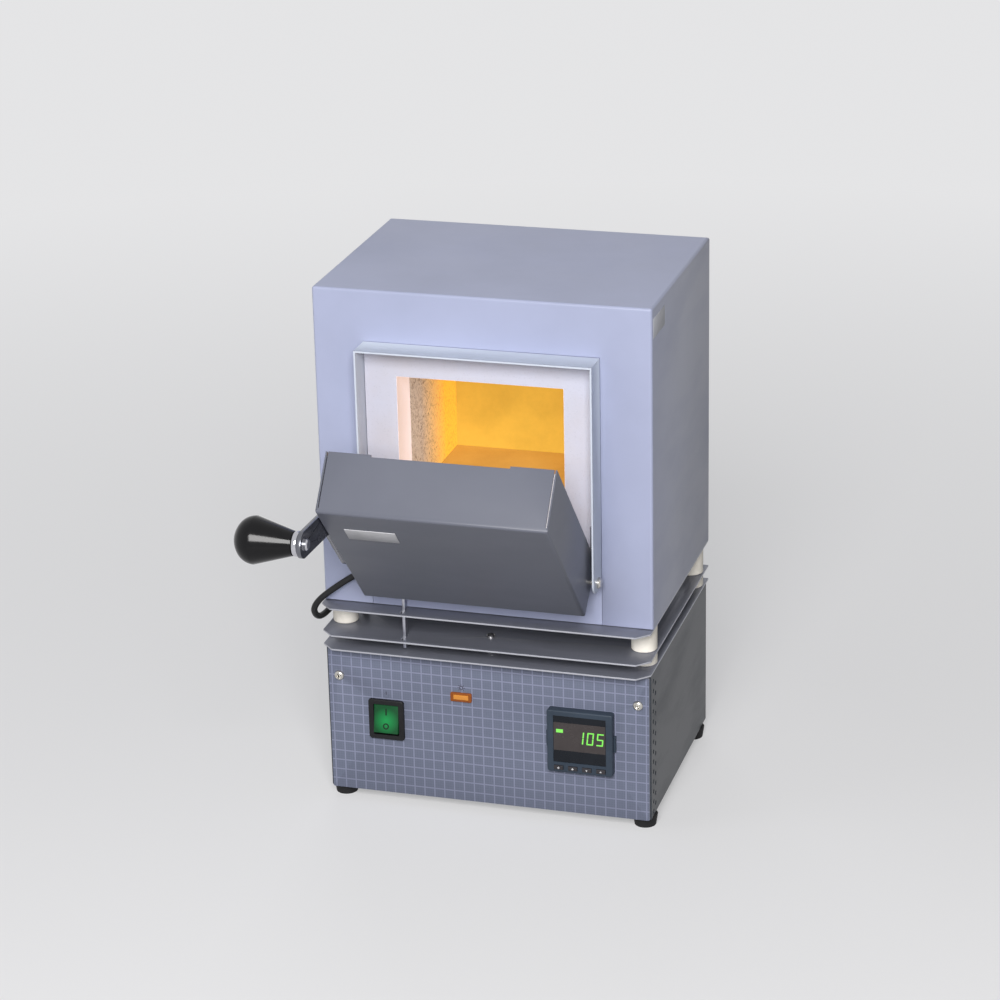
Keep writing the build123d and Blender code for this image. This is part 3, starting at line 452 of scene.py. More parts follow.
@dataclass(frozen=True)
class Finish:
    """Base of all finishes: a named material with a Principled shader over object coordinates."""

    name: str
    colour: Colour
    roughness: float = 0.5
    metallic: float = 0.0
    specular: ClassVar[float] = 0.5

    def build(self) -> bpy.types.Material:
        """Makes the material.

        Returns:
            The finished material.
        """
        material = bpy.data.materials.new(self.name)
        material.diffuse_color = (*self.colour, 1.0)
        g = Surface.of(material)
        inputs = g.shader.inputs
        inputs["Base Color"].default_value = (*self.colour, 1.0)
        inputs["Roughness"].default_value = self.roughness
        inputs["Metallic"].default_value = self.metallic
        inputs["Specular IOR Level"].default_value = self.specular
        self.shade(g)
        return material

    def shade(self, g: Surface) -> None:
        """Adds what this finish has beyond a plain surface.

        Args:
            g: The material's graph.
        """


@dataclass(frozen=True)
class Paint(Finish):
    """Satin powder coat on sheet metal."""

    specular: ClassVar[float] = 0.36
    scuffs: float = 0.10

    def shade(self, g: Surface) -> None:
        """Orange peel, a slow drift of tone and a few dull smears."""
        coat = g.group("powder")
        darker = tinted(self.colour, 0.93)
        lighter = tinted(self.colour, 1.03)
        tone = g.mix(coat.outputs["Drift"], darker, lighter)
        g.paint(tone)
        smear = g.noise(g.stretched(g.place, (9.0, 9.0, 30.0)), 1.0, 4.0, 0.6)
        dull = g.ramp(smear, 0.45, 0.75, self.roughness, self.roughness + self.scuffs)
        g.gloss(dull)
        g.bump(coat.outputs["Height"], 0.02, 0.35)


@dataclass(frozen=True)
class CollarPaintHighlight(Paint):
    """The same paint with a painted highlight: paler on the part that stands in front of the casing's front.
    """

    # colour of the painted highlight in front of the casing's plane
    lip_highlight: Colour = (0.56, 0.61, 0.70)
    lip_y: float = 0.0

    def shade(self, g: Surface) -> None:
        """Paint all over, and a painted highlight: the paler tone in front of the casing's plane."""
        super().shade(g)
        tone = g.shader.inputs["Base Color"].links[0].from_socket
        axes = g.split(g.place)
        # painted highlight: the collar in front of the casing's plane is mixed into the paler colour
        lip_highlight_mask = g.ramp(axes.outputs["Y"], self.lip_y - 0.0008, self.lip_y - 0.0003, 1.0, 0.0)
        g.paint(g.mix(lip_highlight_mask, tone, self.lip_highlight))


@dataclass(frozen=True)
class GridPanel(Finish):
    """Printed panel: satin ground with a lighter square grid."""

    specular: ClassVar[float] = 0.22
    line: Colour = (0.27, 0.285, 0.40)
    edge: Colour = (0.46, 0.47, 0.53)
    line_share: float = 0.68
    fine_share: float = 0.10

    def shade(self, g: Surface) -> None:
        """The grid on the front, bare bright metal on the cut edges."""
        coat = g.group("powder")
        grid = g.group("print")
        faint = g.math("MULTIPLY", grid.outputs["Fine"], self.fine_share)
        ground = g.mix(coat.outputs["Drift"], tinted(self.colour, 0.95), self.colour)
        lined = g.mix(faint, ground, self.line)
        lined = g.mix(g.math("MULTIPLY", grid.outputs["Lines"], self.line_share), lined, self.line)
        axes = g.split(g.normal)
        edge = g.ramp(g.math("ABSOLUTE", axes.outputs["Y"]), 0.80, 0.55)
        g.paint(g.mix(edge, lined, self.edge))
        g.bump(coat.outputs["Height"], 0.012, 0.25)


@dataclass(frozen=True)
class SheetSteel(Finish):
    """Brushed stainless sheet with a painted highlight on its cut edges."""

    # colour of the painted highlight on the cut edges
    edge: Colour = (0.46, 0.47, 0.52)
    smear_share: float = 0.30
    drift: float = 0.14

    def shade(self, g: Surface) -> None:
        """Streaks in colour and roughness, and a painted highlight on the edges where the normal is level."""
        brush = g.group("brushed")
        streaked = g.mix(brush.outputs["Streaks"], tinted(self.colour, 0.84), self.colour)
        smears = g.math("MULTIPLY", brush.outputs["Smears"], self.smear_share)
        smeared = g.mix(smears, streaked, tinted(self.colour, 0.72))
        axes = g.split(g.normal)
        # painted highlight: faces with a level normal take the lighter edge colour
        edge_highlight_mask = g.ramp(g.math("ABSOLUTE", axes.outputs["Z"]), 0.75, 0.45)
        g.paint(g.mix(edge_highlight_mask, smeared, self.edge))
        dull = g.ramp(brush.outputs["Streaks"], 0.0, 1.0, self.roughness, self.roughness + self.drift)
        g.gloss(dull)
        g.bump(brush.outputs["Streaks"], 0.006, 0.3)


@dataclass(frozen=True)
class Plated(Finish):
    """Chrome or zinc: bright metal with faint clouding."""

    clouding: float = 0.06

    def shade(self, g: Surface) -> None:
        """Small changes of gloss, as fingers leave."""
        cloud = g.noise(g.place, 60.0, 4.0, 0.6)
        dull = g.ramp(cloud, 0.4, 0.75, self.roughness, self.roughness + self.clouding)
        g.gloss(dull)
        tone = g.mix(g.ramp(cloud, 0.35, 0.7), tinted(self.colour, 0.93), self.colour)
        g.paint(tone)


@dataclass(frozen=True)
class Moulded(Finish):
    """Moulded plastic or rubber with a fine grain."""

    specular: ClassVar[float] = 0.28
    grain: float = 0.5
    grain_scale: float = 2200.0

    def shade(self, g: Surface) -> None:
        """Spark-eroded grain and slight wear in the gloss."""
        grain = g.noise(g.place, self.grain_scale, 2.0, 0.5)
        wear = g.noise(g.place, 70.0, 4.0, 0.6)
        g.gloss(g.ramp(wear, 0.4, 0.7, self.roughness, self.roughness + 0.08))
        tone = g.mix(g.ramp(wear, 0.3, 0.75), self.colour, tinted(self.colour, 1.25, 0.002))
        g.paint(tone)
        g.bump(grain, 0.012, self.grain)


@dataclass(frozen=True)
class Fibre(Finish):
    """White ceramic fibre board with painted shade in its small hollows and warm stains near the heat."""

    specular: ClassVar[float] = 0.10
    # share of the painted shade in the hollows
    pit_shade_share: ClassVar[float] = 0.22
    stain: Colour = (0.50, 0.42, 0.36)
    amount: float = 0.25
    glow: float = 0.0
    glow_colour: Colour = (1.0, 0.62, 0.30)

    def shade(self, g: Surface) -> None:
        """Painted shade in small hollows, fibres and stains, and a glow where the piece is hot."""
        fibre = g.group("fibre")
        stained = g.mix(g.math("MULTIPLY", fibre.outputs["Stain"], self.amount), self.colour, self.stain)
        # painted shade: the hollows are darkened towards six tenths of the colour
        pit_shade = g.math("MULTIPLY", fibre.outputs["PitShade"], self.pit_shade_share)
        pit_shaded = g.mix(pit_shade, stained, tinted(self.colour, 0.6))
        g.paint(pit_shaded)
        g.bump(fibre.outputs["Height"], 0.35, 0.5)
        if self.glow > 0:
            heat = g.mix(fibre.outputs["Stain"], self.glow_colour, tinted(self.glow_colour, 0.7))
            g.emit(heat, self.glow)


@dataclass(frozen=True)
class MouthBoard(Fibre):
    """The front board, whose chamber mouth is lit by the heat behind it."""

    mouth_low: Point = (0.0, 0.0, 0.0)
    mouth_high: Point = (0.0, 0.0, 0.0)
    jamb_light: Colour = (1.0, 0.74, 0.62)
    strength: float = 0.52
    reach: float = 0.00025
    fade: float = 0.0002

    def shade(self, g: Surface) -> None:
        """Fibre board all over, and a pinkish light on the mouth's four sides."""
        super().shade(g)
        axes = g.split(g.place)
        inside = 1.0
        for axis in (0, 2):
            middle = (self.mouth_low[axis] + self.mouth_high[axis]) / 2
            half = (self.mouth_high[axis] - self.mouth_low[axis]) / 2 + self.reach
            away = g.math("ABSOLUTE", g.math("SUBTRACT", axes.outputs["XYZ"[axis]], middle))
            inside = g.math("MULTIPLY", inside, g.ramp(away, half, half - self.fade))
        g.emit(g.mix(inside, (0.0, 0.0, 0.0), self.jamb_light), self.strength)


@dataclass(frozen=True)
class HotWall(Finish):
    """Chamber wall in use: pale rough brick with dark specks in front, glowing yellow towards the rear."""

    specular: ClassVar[float] = 0.10
    fleck: Colour = (0.86, 0.50, 0.06)
    soot: Colour = (0.15, 0.085, 0.050)
    glow: float = 0.62
    cool_y: float = 0.0
    hot_y: float = 0.05

    def shade(self, g: Surface) -> None:
        """Coarse flecks in colour, height and glow."""
        axes = g.split(g.place)
        rear = g.ramp(axes.outputs["Y"], self.cool_y, self.hot_y)
        speck = g.noise(g.stretched(g.place, (1.0, 1.0, 0.5)), 820.0, 5.0, 0.75)
        crumbs = g.ramp(g.noise(g.place, 170.0, 3.0, 0.6), 0.42, 0.60)
        dark = g.math("MULTIPLY", g.ramp(speck, 0.50, 0.42), g.ramp(crumbs, 0.0, 1.0, 0.45, 1.0))
        shown = g.math("MULTIPLY", dark, g.ramp(rear, 0.0, 1.0, 0.95, 0.35))
        ground = g.mix(rear, self.colour, self.fleck)
        g.paint(g.mix(shown, ground, self.soot))
        lit = g.mix(rear, tinted(self.colour, 0.70), self.fleck)
        g.emit(g.mix(shown, lit, tinted(self.soot, 0.5)), self.glow)
        g.bump(speck, 0.7, 0.7)


@dataclass(frozen=True)
class Lit(Finish):
    """A lit plastic or a display segment."""

    light: Colour = (0.1, 1.0, 0.3)
    strength: float = 1.0

    def shade(self, g: Surface) -> None:
        """Even light with a faint mottle."""
        mottle = g.noise(g.place, 260.0, 2.0, 0.5)
        tone = g.mix(g.ramp(mottle, 0.3, 0.7), tinted(self.light, 0.85), self.light)
        g.emit(tone, self.strength)


@dataclass(frozen=True)
class RockerGreen(Finish):
    """Green rocker, lit from within, brightest at its middle."""

    specular: ClassVar[float] = 0.25
    centre: Point = (0.0, 0.0, 0.0)
    light: Colour = (0.02, 0.62, 0.14)
    strength: float = 0.36
    glow_edge: float = 0.010
    glow_core: float = 0.001

    def shade(self, g: Surface) -> None:
        """A soft round glow about the lamp behind the middle."""
        away = g.add("ShaderNodeVectorMath", operation="DISTANCE")
        g.join(g.place, away.inputs[0])
        away.inputs[1].default_value = self.centre
        near = g.ramp(away.outputs["Value"], self.glow_edge, self.glow_core)
        g.emit(g.mix(near, tinted(self.light, 0.10), self.light), self.strength)
        g.paint(g.mix(near, self.colour, tinted(self.colour, 1.6)))


ROCKER_GLOW: Point = (-75.5, -8.0, 66.0)
CASING_BLUE: Colour = (0.365, 0.395, 0.545)
DOOR_SLATE: Colour = (0.135, 0.143, 0.178)
PANEL_BLUE: Colour = (0.142, 0.160, 0.222)


@dataclass
class Finishes:
    """Every material of the furnace, built once."""

    made: dict[str, bpy.types.Material] = field(default_factory=dict)

    def catalogue(self) -> list[Finish]:
        """All the finishes.

        Returns:
            The list of finishes.
        """
        rocker = DATUM.at(*ROCKER_GLOW)
        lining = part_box("heating_plate_left")[0][1]
        mouth_low = (DATUM.x - MOUTH_HALF * MM, 0.0, MOUTH_LOW * MM)
        mouth_high = (DATUM.x + MOUTH_HALF * MM, 0.0, MOUTH_HIGH * MM)
        return [
            Paint("casing_paint", CASING_BLUE, 0.32),
            CollarPaintHighlight("collar_paint_highlight", CASING_BLUE, 0.34, lip_y=DATUM.y),
            Paint("door_paint", DOOR_SLATE, 0.36),
            Paint("dark_paint", (0.040, 0.046, 0.056), 0.38),
            GridPanel("panel_print", PANEL_BLUE, 0.42),
            SheetSteel("sheet_steel", (0.24, 0.25, 0.30), 0.38, 0.55),
            SheetSteel("strap_steel", (0.62, 0.62, 0.64), 0.30, 1.0),
            Plated("screw_steel", (0.62, 0.60, 0.56), 0.22, 1.0),
            Plated("chrome_plate", (0.62, 0.62, 0.66), 0.10, 1.0),
            Plated("arm_steel", (0.20, 0.205, 0.23), 0.24, 1.0),
            Moulded("spacer_ceramic", (0.80, 0.76, 0.68), 0.55, 0.0, 0.6, 700.0),
            Moulded("black_plastic", (0.006, 0.006, 0.007), 0.40),
            Moulded("knob_plastic", (0.002, 0.002, 0.0025), 0.11, 0.0, 0.05),
            Moulded("frame_plastic", (0.028, 0.040, 0.058), 0.42),
            Moulded("lamp_plastic", (0.22, 0.060, 0.010), 0.40),
            Moulded("button_plastic", (0.030, 0.028, 0.032), 0.45),
            Moulded("pale_plastic", (0.62, 0.61, 0.58), 0.45),
            Moulded("print_ink", (0.045, 0.040, 0.060), 0.55),
            Moulded("mark_ink", (0.50, 0.50, 0.52), 0.5),
            Moulded("rocker_ink", (0.001, 0.010, 0.004), 0.6),
            Moulded("label_sheet", (0.50, 0.51, 0.55), 0.45),
            Moulded("foot_rubber", (0.012, 0.012, 0.013), 0.70, 0.0, 0.9, 1200.0),
            Moulded("lead_sheath", (0.010, 0.010, 0.011), 0.45, 0.0, 0.4, 1500.0),
            Moulded("band_plastic", (0.045, 0.038, 0.038), 0.22, 0.0, 0.05),
            Moulded("window_plastic", (0.004, 0.006, 0.010), 0.12, 0.0, 0.05),
            MouthBoard("front_fibre", (0.57, 0.58, 0.68), 0.85, mouth_low=mouth_low, mouth_high=mouth_high),
            Fibre("door_fibre", (0.74, 0.72, 0.76), 0.85, 0.0),
            Fibre("hearth_fibre", (0.50, 0.32, 0.10), 0.9, stain=(0.38, 0.22, 0.06), amount=0.5, glow=0.20,
                  glow_colour=(0.86, 0.46, 0.05)),
            Fibre("back_glow", (0.30, 0.18, 0.02), 0.9, stain=(0.25, 0.15, 0.02), amount=0.5, glow=0.62,
                  glow_colour=(0.98, 0.56, 0.08)),
            HotWall("hot_wall", (0.50, 0.44, 0.38), 0.9, cool_y=lining + 24 * MM, hot_y=lining + 80 * MM),
            Lit("segment_green", (0.08, 0.28, 0.05), 0.4, 0.0, (0.20, 0.70, 0.09), 1.0),
            Lit("lamp_amber", (0.50, 0.20, 0.03), 0.25, 0.0, (0.62, 0.22, 0.03), 0.22),
            RockerGreen("rocker_green", (0.003, 0.045, 0.014), 0.30, 0.0, tuple(rocker)),
        ]

    def build(self) -> None:
        """Builds every finish."""
        for finish in self.catalogue():
            self.made[finish.name] = finish.build()
        log.info("finishes: %d", len(self.made))

    def __getitem__(self, name: str) -> bpy.types.Material:
        """The material with that name."""
        return self.made[name]


# Dressing of the CAD nodes

@dataclass
class Dresser:
    """Gives the fixed nodes their materials, smooth curves and rounded edges."""

    finishes: Finishes

    def dress(self, node: str, finish: str, bend: Bend) -> None:
        """Dresses one node.

        Args:
            node: The node's name.
            finish: The finish's name.
            bend: How far its edges are rounded.
        """
        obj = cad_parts[node]
        obj.data.materials.clear()
        obj.data.materials.append(self.finishes[finish])
        for polygon in obj.data.polygons:
            polygon.use_smooth = True
            polygon.material_index = 0
        weld = obj.modifiers.new("weld", "WELD")
        weld.merge_threshold = 0.000002
        if bend is not Bend.NONE:
            bevel = obj.modifiers.new("edges", "BEVEL")
            bevel.width = bend.value * MM
            bevel.segments = 2
            bevel.limit_method = "ANGLE"
            bevel.angle_limit = radians(38)
            bevel.harden_normals = True
            bevel.material = -1
        split = obj.modifiers.new("creases", "EDGE_SPLIT")
        split.split_angle = radians(32)
        split.use_edge_sharp = False

    def dress_all(self, table: dict[tuple[str, Bend], str]) -> None:
        """Dresses every node of a table.

        Args:
            table: Finish and bend to the names of their nodes, with spaces between.
        """
        for (finish, bend), nodes in table.items():
            for node in nodes.split():
                self.dress(node, finish, bend)
            log.info("%s: %s", finish, nodes)


# Mesh building

def to_data(name: str, mesh: BMesh) -> bpy.types.Mesh:
    """Mesh data made from a bmesh, which is freed."""
    data = bpy.data.meshes.new(name)
    mesh.to_mesh(data)
    mesh.free()
    return data


def link(name: str, data: bpy.types.ID) -> bpy.types.Object:
    """A new object in the scene that holds the data."""
    obj = bpy.data.objects.new(name, data)
    bpy.context.scene.collection.objects.link(obj)
    return obj


def move(mesh: BMesh, matrix: Matrix) -> None:
    """Moves a whole bmesh."""
    bmesh.ops.transform(mesh, matrix=matrix, verts=mesh.verts)


@dataclass
class Shop:
    """Makes meshes into finished pieces that ride on a body."""

    finishes: Finishes

    def piece(self, name: str, mesh: BMesh, finish: str, body: Body, slot: str, smooth: bool = True,
              crease: float = 35.0) -> bpy.types.Object:
        """Turns a bmesh in scene metres into a piece.

        Args:
            name: The piece's name.
            mesh: The bmesh, which is freed.
            finish: The finish's name.
            body: The body that it rides on.
            slot: Not used.
            smooth: Whether its faces are shaded smooth.
            crease: Degrees above which an edge stays sharp.

        Returns:
            The new object.
        """
        bmesh.ops.remove_doubles(mesh, verts=mesh.verts, dist=0.0000005)
        bmesh.ops.recalc_face_normals(mesh, faces=mesh.faces)
        data = to_data(name, mesh)
        obj = link(name, data)
        data.materials.append(self.finishes[finish])
        if smooth:
            data.shade_smooth()
            data.set_sharp_from_angle(angle=radians(crease))
        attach(obj, body.value)
        log.info("piece %s: %d faces on %s", name, len(data.polygons), body.value)
        return obj


def box_mesh(low: Vector, high: Vector, bevel: float = 0.0) -> BMesh:
    """A box between two corners with rounded edges.

    Args:
        low: Lowest corner in metres.
        high: Highest corner in metres.
        bevel: Edge radius in metres.

    Returns:
        The bmesh.
    """
    mesh = bmesh.new()
    bmesh.ops.create_cube(mesh, size=1.0)
    size = high - low
    move(mesh, Matrix.Translation((low + high) / 2) @ Matrix.Diagonal((*size, 1.0)))
    if bevel > 0:
        bmesh.ops.bevel(mesh, geom=mesh.edges[:], offset=bevel, segments=2, profile=0.5, affect="EDGES",
                        material=-1)
    return mesh


def lathe(profile: Iterable[tuple[float, float]], origin: Vector, direction: Vector, steps: int) -> BMesh:
    """Spins a profile about a line.

    Args:
        profile: Distance along the line and radius, both in millimetres.
        origin: Where the line starts, in metres.
        direction: The line's direction.
        steps: Faces around.

    Returns:
        The bmesh in scene metres.
    """
    mesh = bmesh.new()
    ring = [mesh.verts.new((radius * MM, 0.0, along * MM)) for along, radius in profile]
    edges = [mesh.edges.new(pair) for pair in zip(ring, ring[1:])]
    bmesh.ops.spin(mesh, geom=ring + edges, cent=(0, 0, 0), axis=(0, 0, 1), angle=2 * pi, steps=steps,
                   use_merge=True, dvec=(0, 0, 0), use_duplicate=False, use_normal_flip=False)
    bmesh.ops.remove_doubles(mesh, verts=mesh.verts, dist=0.000001)
    turn = direction.normalized().to_track_quat("Z", "Y").to_matrix().to_4x4()
    move(mesh, Matrix.Translation(origin) @ turn)
    return mesh


def merge(parts: Iterable[BMesh]) -> BMesh:
    """Joins several bmeshes in one.

    Args:
        parts: The bmeshes, which are freed.

    Returns:
        The joined bmesh.
    """
    whole = bmesh.new()
    for part in parts:
        data = to_data("part", part)
        whole.from_mesh(data)
        bpy.data.meshes.remove(data)
    return whole


def cross_head(seat: Vector, outward: Vector, radius: float, height: float, turn: float = 0.0) -> BMesh:
    """A pan head with a cross recess.

    Args:
        seat: Centre of the face that it sits on, in metres.
        outward: Direction out of that face.
        radius: Head radius in millimetres.
        height: Head height in millimetres.
        turn: Turn of the recess in degrees.

    Returns:
        The bmesh.
    """
    reach, half = radius * 0.52, radius * 0.13
    dome = [(height * (1 - (1 - cos(a)) * 0.9), radius * (0.30 + 0.70 * sin(a)))
            for a in (radians(d) for d in (90, 75, 60, 45, 30, 15))]
    mesh = lathe([(0.0, radius), *dome, (height, 0.0)], Vector((0, 0, 0)), Vector((0, 0, 1)), 48)
    blades = []
    for k in range(2):
        top = Vector((reach, half, height * 1.6))
        blade = box_mesh(Vector((-reach, -half, height * 0.35)) * MM, top * MM)
        move(blade, Matrix.Rotation(radians(turn + 90.0 * k), 4, "Z"))
        blades.append(blade)
    head = carve(mesh, merge(blades))
    turned = outward.normalized().to_track_quat("Z", "Y").to_matrix().to_4x4()
    move(head, Matrix.Translation(seat) @ turned)
    return head


def carve(mesh: BMesh, tool: BMesh) -> BMesh:
    """Cuts one closed bmesh out of another.

    Args:
        mesh: What is cut, freed.
        tool: What cuts it, freed.

    Returns:
        The cut bmesh.
    """
    objects = []
    for name, part in (("blank", mesh), ("cutter", tool)):
        bmesh.ops.recalc_face_normals(part, faces=part.faces)
        objects.append(link(name, to_data(name, part)))
    cut = objects[0].modifiers.new("cut", "BOOLEAN")
    cut.operation = "DIFFERENCE"
    cut.solver = "EXACT"
    cut.use_self = True
    cut.object = objects[1]
    bpy.context.view_layer.update()
    solved = objects[0].evaluated_get(bpy.context.evaluated_depsgraph_get())
    result = bpy.data.meshes.new_from_object(solved)
    out = bmesh.new()
    out.from_mesh(result)
    for obj in objects:
        data = obj.data
        bpy.data.objects.remove(obj)
        bpy.data.meshes.remove(data)
    bpy.data.meshes.remove(result)
    return out


# Sub-assemblies

@dataclass
class Lead:
    """The black lead from the casing's front to the tray."""

    shop: Shop
    diameter: float = 4.6
    length: float = 0.112
    route: tuple[Point, ...] = (
        (-92.0, -5.2, 179.2), (-98.6, -6.6, 174.9), (-105.6, -8.0, 170.2), (-112.6, -9.2, 165.0),
        (-120.4, -11.2, 158.6), (-125.6, -10.6, 151.0), (-126.4, -5.4, 143.6), (-126.0, 2.6, 138.8),
        (-125.0, 11.4, 137.8), (-124.0, 20.8, 138.6), (-119.2, 29.2, 139.8), (-111.8, 33.4, 140.8),
        (-105.6, 34.4, 139.8), (-103.0, 34.8, 136.8), (-103.0, 34.8, 133.7),
    )

    def build(self) -> None:
        """Lays the lead on one smooth curve."""
        curve = bpy.data.curves.new("furnace_lead", "CURVE")
        curve.dimensions = "3D"
        curve.bevel_depth = self.diameter / 2 * MM
        curve.bevel_resolution = 6
        curve.resolution_u = 12
        curve.use_fill_caps = True
        spline = curve.splines.new("NURBS")
        spline.points.add(len(self.route) - 1)
        for slot, point in zip(spline.points, self.route):
            slot.co = (*DATUM.at(*point), 1.0)
        spline.order_u = 3
        spline.use_endpoint_u = True
        obj = link("furnace_lead", curve)
        curve.materials.append(self.shop.finishes["lead_sheath"])
        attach(obj, Body.FURNACE.value)
        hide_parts("lead")
        tuple(DATUM.at(*self.route[0]))
        log.info("lead laid with %d points", len(self.route))


@dataclass
class ControlFront:
    """What the panel carries beyond its instruments' housings."""

    shop: Shop
    panel_y: float = -4.3
    rocker_centre: tuple[float, float] = (-75.5, 66.5)
    rocker_pivot_y: float = -1.3
    rocker_tilt: float = 8.0
    rocker_face: float = 5.4
    face_lean: float = 3.4
    digit_height: float = 9.6
    digit_width: float = 4.9
    digit_pitch: float = 7.2
    digit_bar: float = 0.95
    digit_gap: float = 0.18
    digit_lean: float = 0.10
    digit_foot: float = 65.6
    digits_right: float = 86.4
    print_thick: float = 0.06
    raised: float = 0.12
    band_thick: float = 0.15
    screw_x: float = 110.5
    screw_z: float = 97.3
    screw_radius: float = 3.75
    screw_height: float = 2.3
    lamp_x: float = -19.0
    lamp_z: float = 97.0
    power_z: float = 85.2
    reading: str = "105"

    def build(self) -> None:
        """Builds screws, marks, display and rocker symbols."""
        self.screws()
        self.marks()
        self.display()
        self.button_marks()
        self.rocker_marks()

    def screws(self) -> None:
        """Two cross-head screws at the panel's upper corners."""
        heads = []
        for side, turn in ((-1, 20.0), (1, 52.0)):
            seat = DATUM.at(side * self.screw_x, self.panel_y, self.screw_z)
            heads.append(cross_head(seat, Vector((0, -1, 0)), self.screw_radius, self.screw_height, turn))
        obj = self.shop.piece("panel_screw_heads", merge(heads), "screw_steel", Body.FURNACE, "screw_steel")
        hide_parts("panel_screws")

    def bar(self, x0: float, x1: float, z0: float, z1: float, y: float, thick: float) -> BMesh:
        """A thin raised bar on a plane of constant Y.

        Args:
            x0: Left edge.
            x1: Right edge.
            z0: Lower edge.
            z1: Upper edge.
            y: Plane that it lies on.
            thick: Height above that plane.

        Returns:
            The bmesh.
        """
        return box_mesh(DATUM.at(x0, y - thick, z0), DATUM.at(x1, y, z1))

    def ring(self, x: float, z: float, outer: float, inner: float, y: float, thick: float,
             gap: float = 0.0) -> BMesh:
        """A flat ring on a plane of constant Y, with a gap at its top if one is given.

        Args:
            x: Centre.
            z: Centre height.
            outer: Outer radius.
            inner: Inner radius.
            y: Plane that it lies on.
            thick: Height above that plane.
            gap: Degrees left open at the top.

        Returns:
            The bmesh.
        """
        mesh = bmesh.new()
        start = radians(90.0 + gap / 2)
        sweep = 2 * pi - radians(gap)
        corners = [(inner, 0.0), (outer, 0.0), (outer, thick), (inner, thick)]
        loop = [mesh.verts.new((r * MM * cos(start), -t * MM, r * MM * sin(start))) for r, t in corners]
        face = mesh.faces.new(loop)
        bmesh.ops.spin(mesh, geom=[face], cent=(0, 0, 0), axis=(0, -1, 0), angle=sweep, steps=36,
                       use_merge=gap == 0.0, dvec=(0, 0, 0), use_duplicate=gap > 0.0, use_normal_flip=False)
        bmesh.ops.translate(mesh, verts=mesh.verts, vec=DATUM.at(x, y, z))
        return mesh

    def marks(self) -> None:
        """A power sign over the rocker and a lamp sign over the cycle lamp."""
        y, thick = self.panel_y, self.print_thick
        x, z = self.rocker_centre[0], self.power_z
        power = [self.ring(x, z, 2.1, 1.5, y, thick, gap=70.0),
                 self.bar(x - 0.3, x + 0.3, z + 0.4, z + 2.8, y, thick)]
        lamp = [self.ring(self.lamp_x, self.lamp_z, 1.5, 0.95, y, thick)]
        for turn in range(8):
            ray = box_mesh(Vector((1.9, -thick, -0.22)) * MM, Vector((2.7, 0.0, 0.22)) * MM)
            centre = Matrix.Translation(DATUM.at(self.lamp_x, y, self.lamp_z))
            move(ray, centre @ Matrix.Rotation(pi / 4 * turn, 4, "Y"))
            lamp.append(ray)
        self.shop.piece("panel_signs", merge(power + lamp), "print_ink", Body.FURNACE, "black_plastic",
                        smooth=False)

    def segments(self, digit: str, x: float, z: float, y: float) -> list[BMesh]:
        """The lit segments of one digit.

        Args:
            digit: The digit.
            x: Left edge.
            z: Lower edge.
            y: Plane that it lies on.

        Returns:
            One bmesh for each segment.
        """
        lit = {"0": "abcdef", "1": "bc", "2": "abged", "3": "abgcd", "4": "fgbc", "5": "afgcd", "6": "afgcde",
               "7": "abc", "8": "abcdefg", "9": "abcfgd"}[digit]
        w, h, t, gap = self.digit_width, self.digit_height, self.digit_bar, self.digit_gap
        places = {
            "a": (gap, w - gap, h - t, h), "d": (gap, w - gap, 0.0, t),
            "g": (gap, w - gap, h / 2 - t / 2, h / 2 + t / 2),
            "b": (w - t, w, h / 2 + gap, h - gap), "c": (w - t, w, gap, h / 2 - gap),
            "f": (0.0, t, h / 2 + gap, h - gap), "e": (0.0, t, gap, h / 2 - gap),
        }
        out = []
        foot = DATUM.at(x, y, z).z
        for name in lit:
            x0, x1, z0, z1 = places[name]
            mesh = self.bar(x + x0, x + x1, z + z0, z + z1, y, self.raised)
            for vert in mesh.verts:
                vert.co.x += (vert.co.z - foot) * self.digit_lean
            out.append(mesh)
        return out

    def display(self) -> None:
        """The reading, its small pilot mark and the smoked band behind them."""
        front = (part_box("controller_window")[0][1] - DATUM.y) / MM
        band = self.bar(50.4, 88.2, 59.4, 81.0, front, self.band_thick)
        self.shop.piece("display_band", band, "band_plastic", Body.FURNACE, "window_plastic", smooth=False)
        face = front - self.band_thick
        left = self.digits_right - self.digit_pitch * (len(self.reading) - 1) - self.digit_width
        digits = [self.bar(52.4, 57.4, 73.2, 75.8, face, self.raised)]
        for k, digit in enumerate(self.reading):
            digits += self.segments(digit, left + k * self.digit_pitch, self.digit_foot, face)
        self.shop.piece("display_reading", merge(digits), "segment_green", Body.FURNACE, "green_plastic",
                        smooth=False)

    def button_marks(self) -> None:
        """Small light marks on the four buttons."""
        for k in range(4):
            low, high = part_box(f"controller_button_{k + 1}")
            centre = Vector(((low[0] + high[0]) / 2, low[1] - 0.04 * MM, (low[2] + high[2]) / 2))
            mark = bmesh.new()
            bmesh.ops.create_cone(mark, cap_ends=True, segments=3 if k > 1 else 4, radius1=0.9 * MM,
                                  radius2=0.9 * MM, depth=0.10 * MM)
            flip = Matrix.Rotation(pi if k == 2 else 0.0, 4, "Y") @ Matrix.Rotation(pi / 2, 4, "X")
            move(mark, Matrix.Translation(centre) @ flip)
            name = f"button_mark_{k + 1}"
            obj = link(name, to_data(name, mark))
            obj.data.materials.append(self.shop.finishes["mark_ink"])
            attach(obj, f"button_{k + 1}")

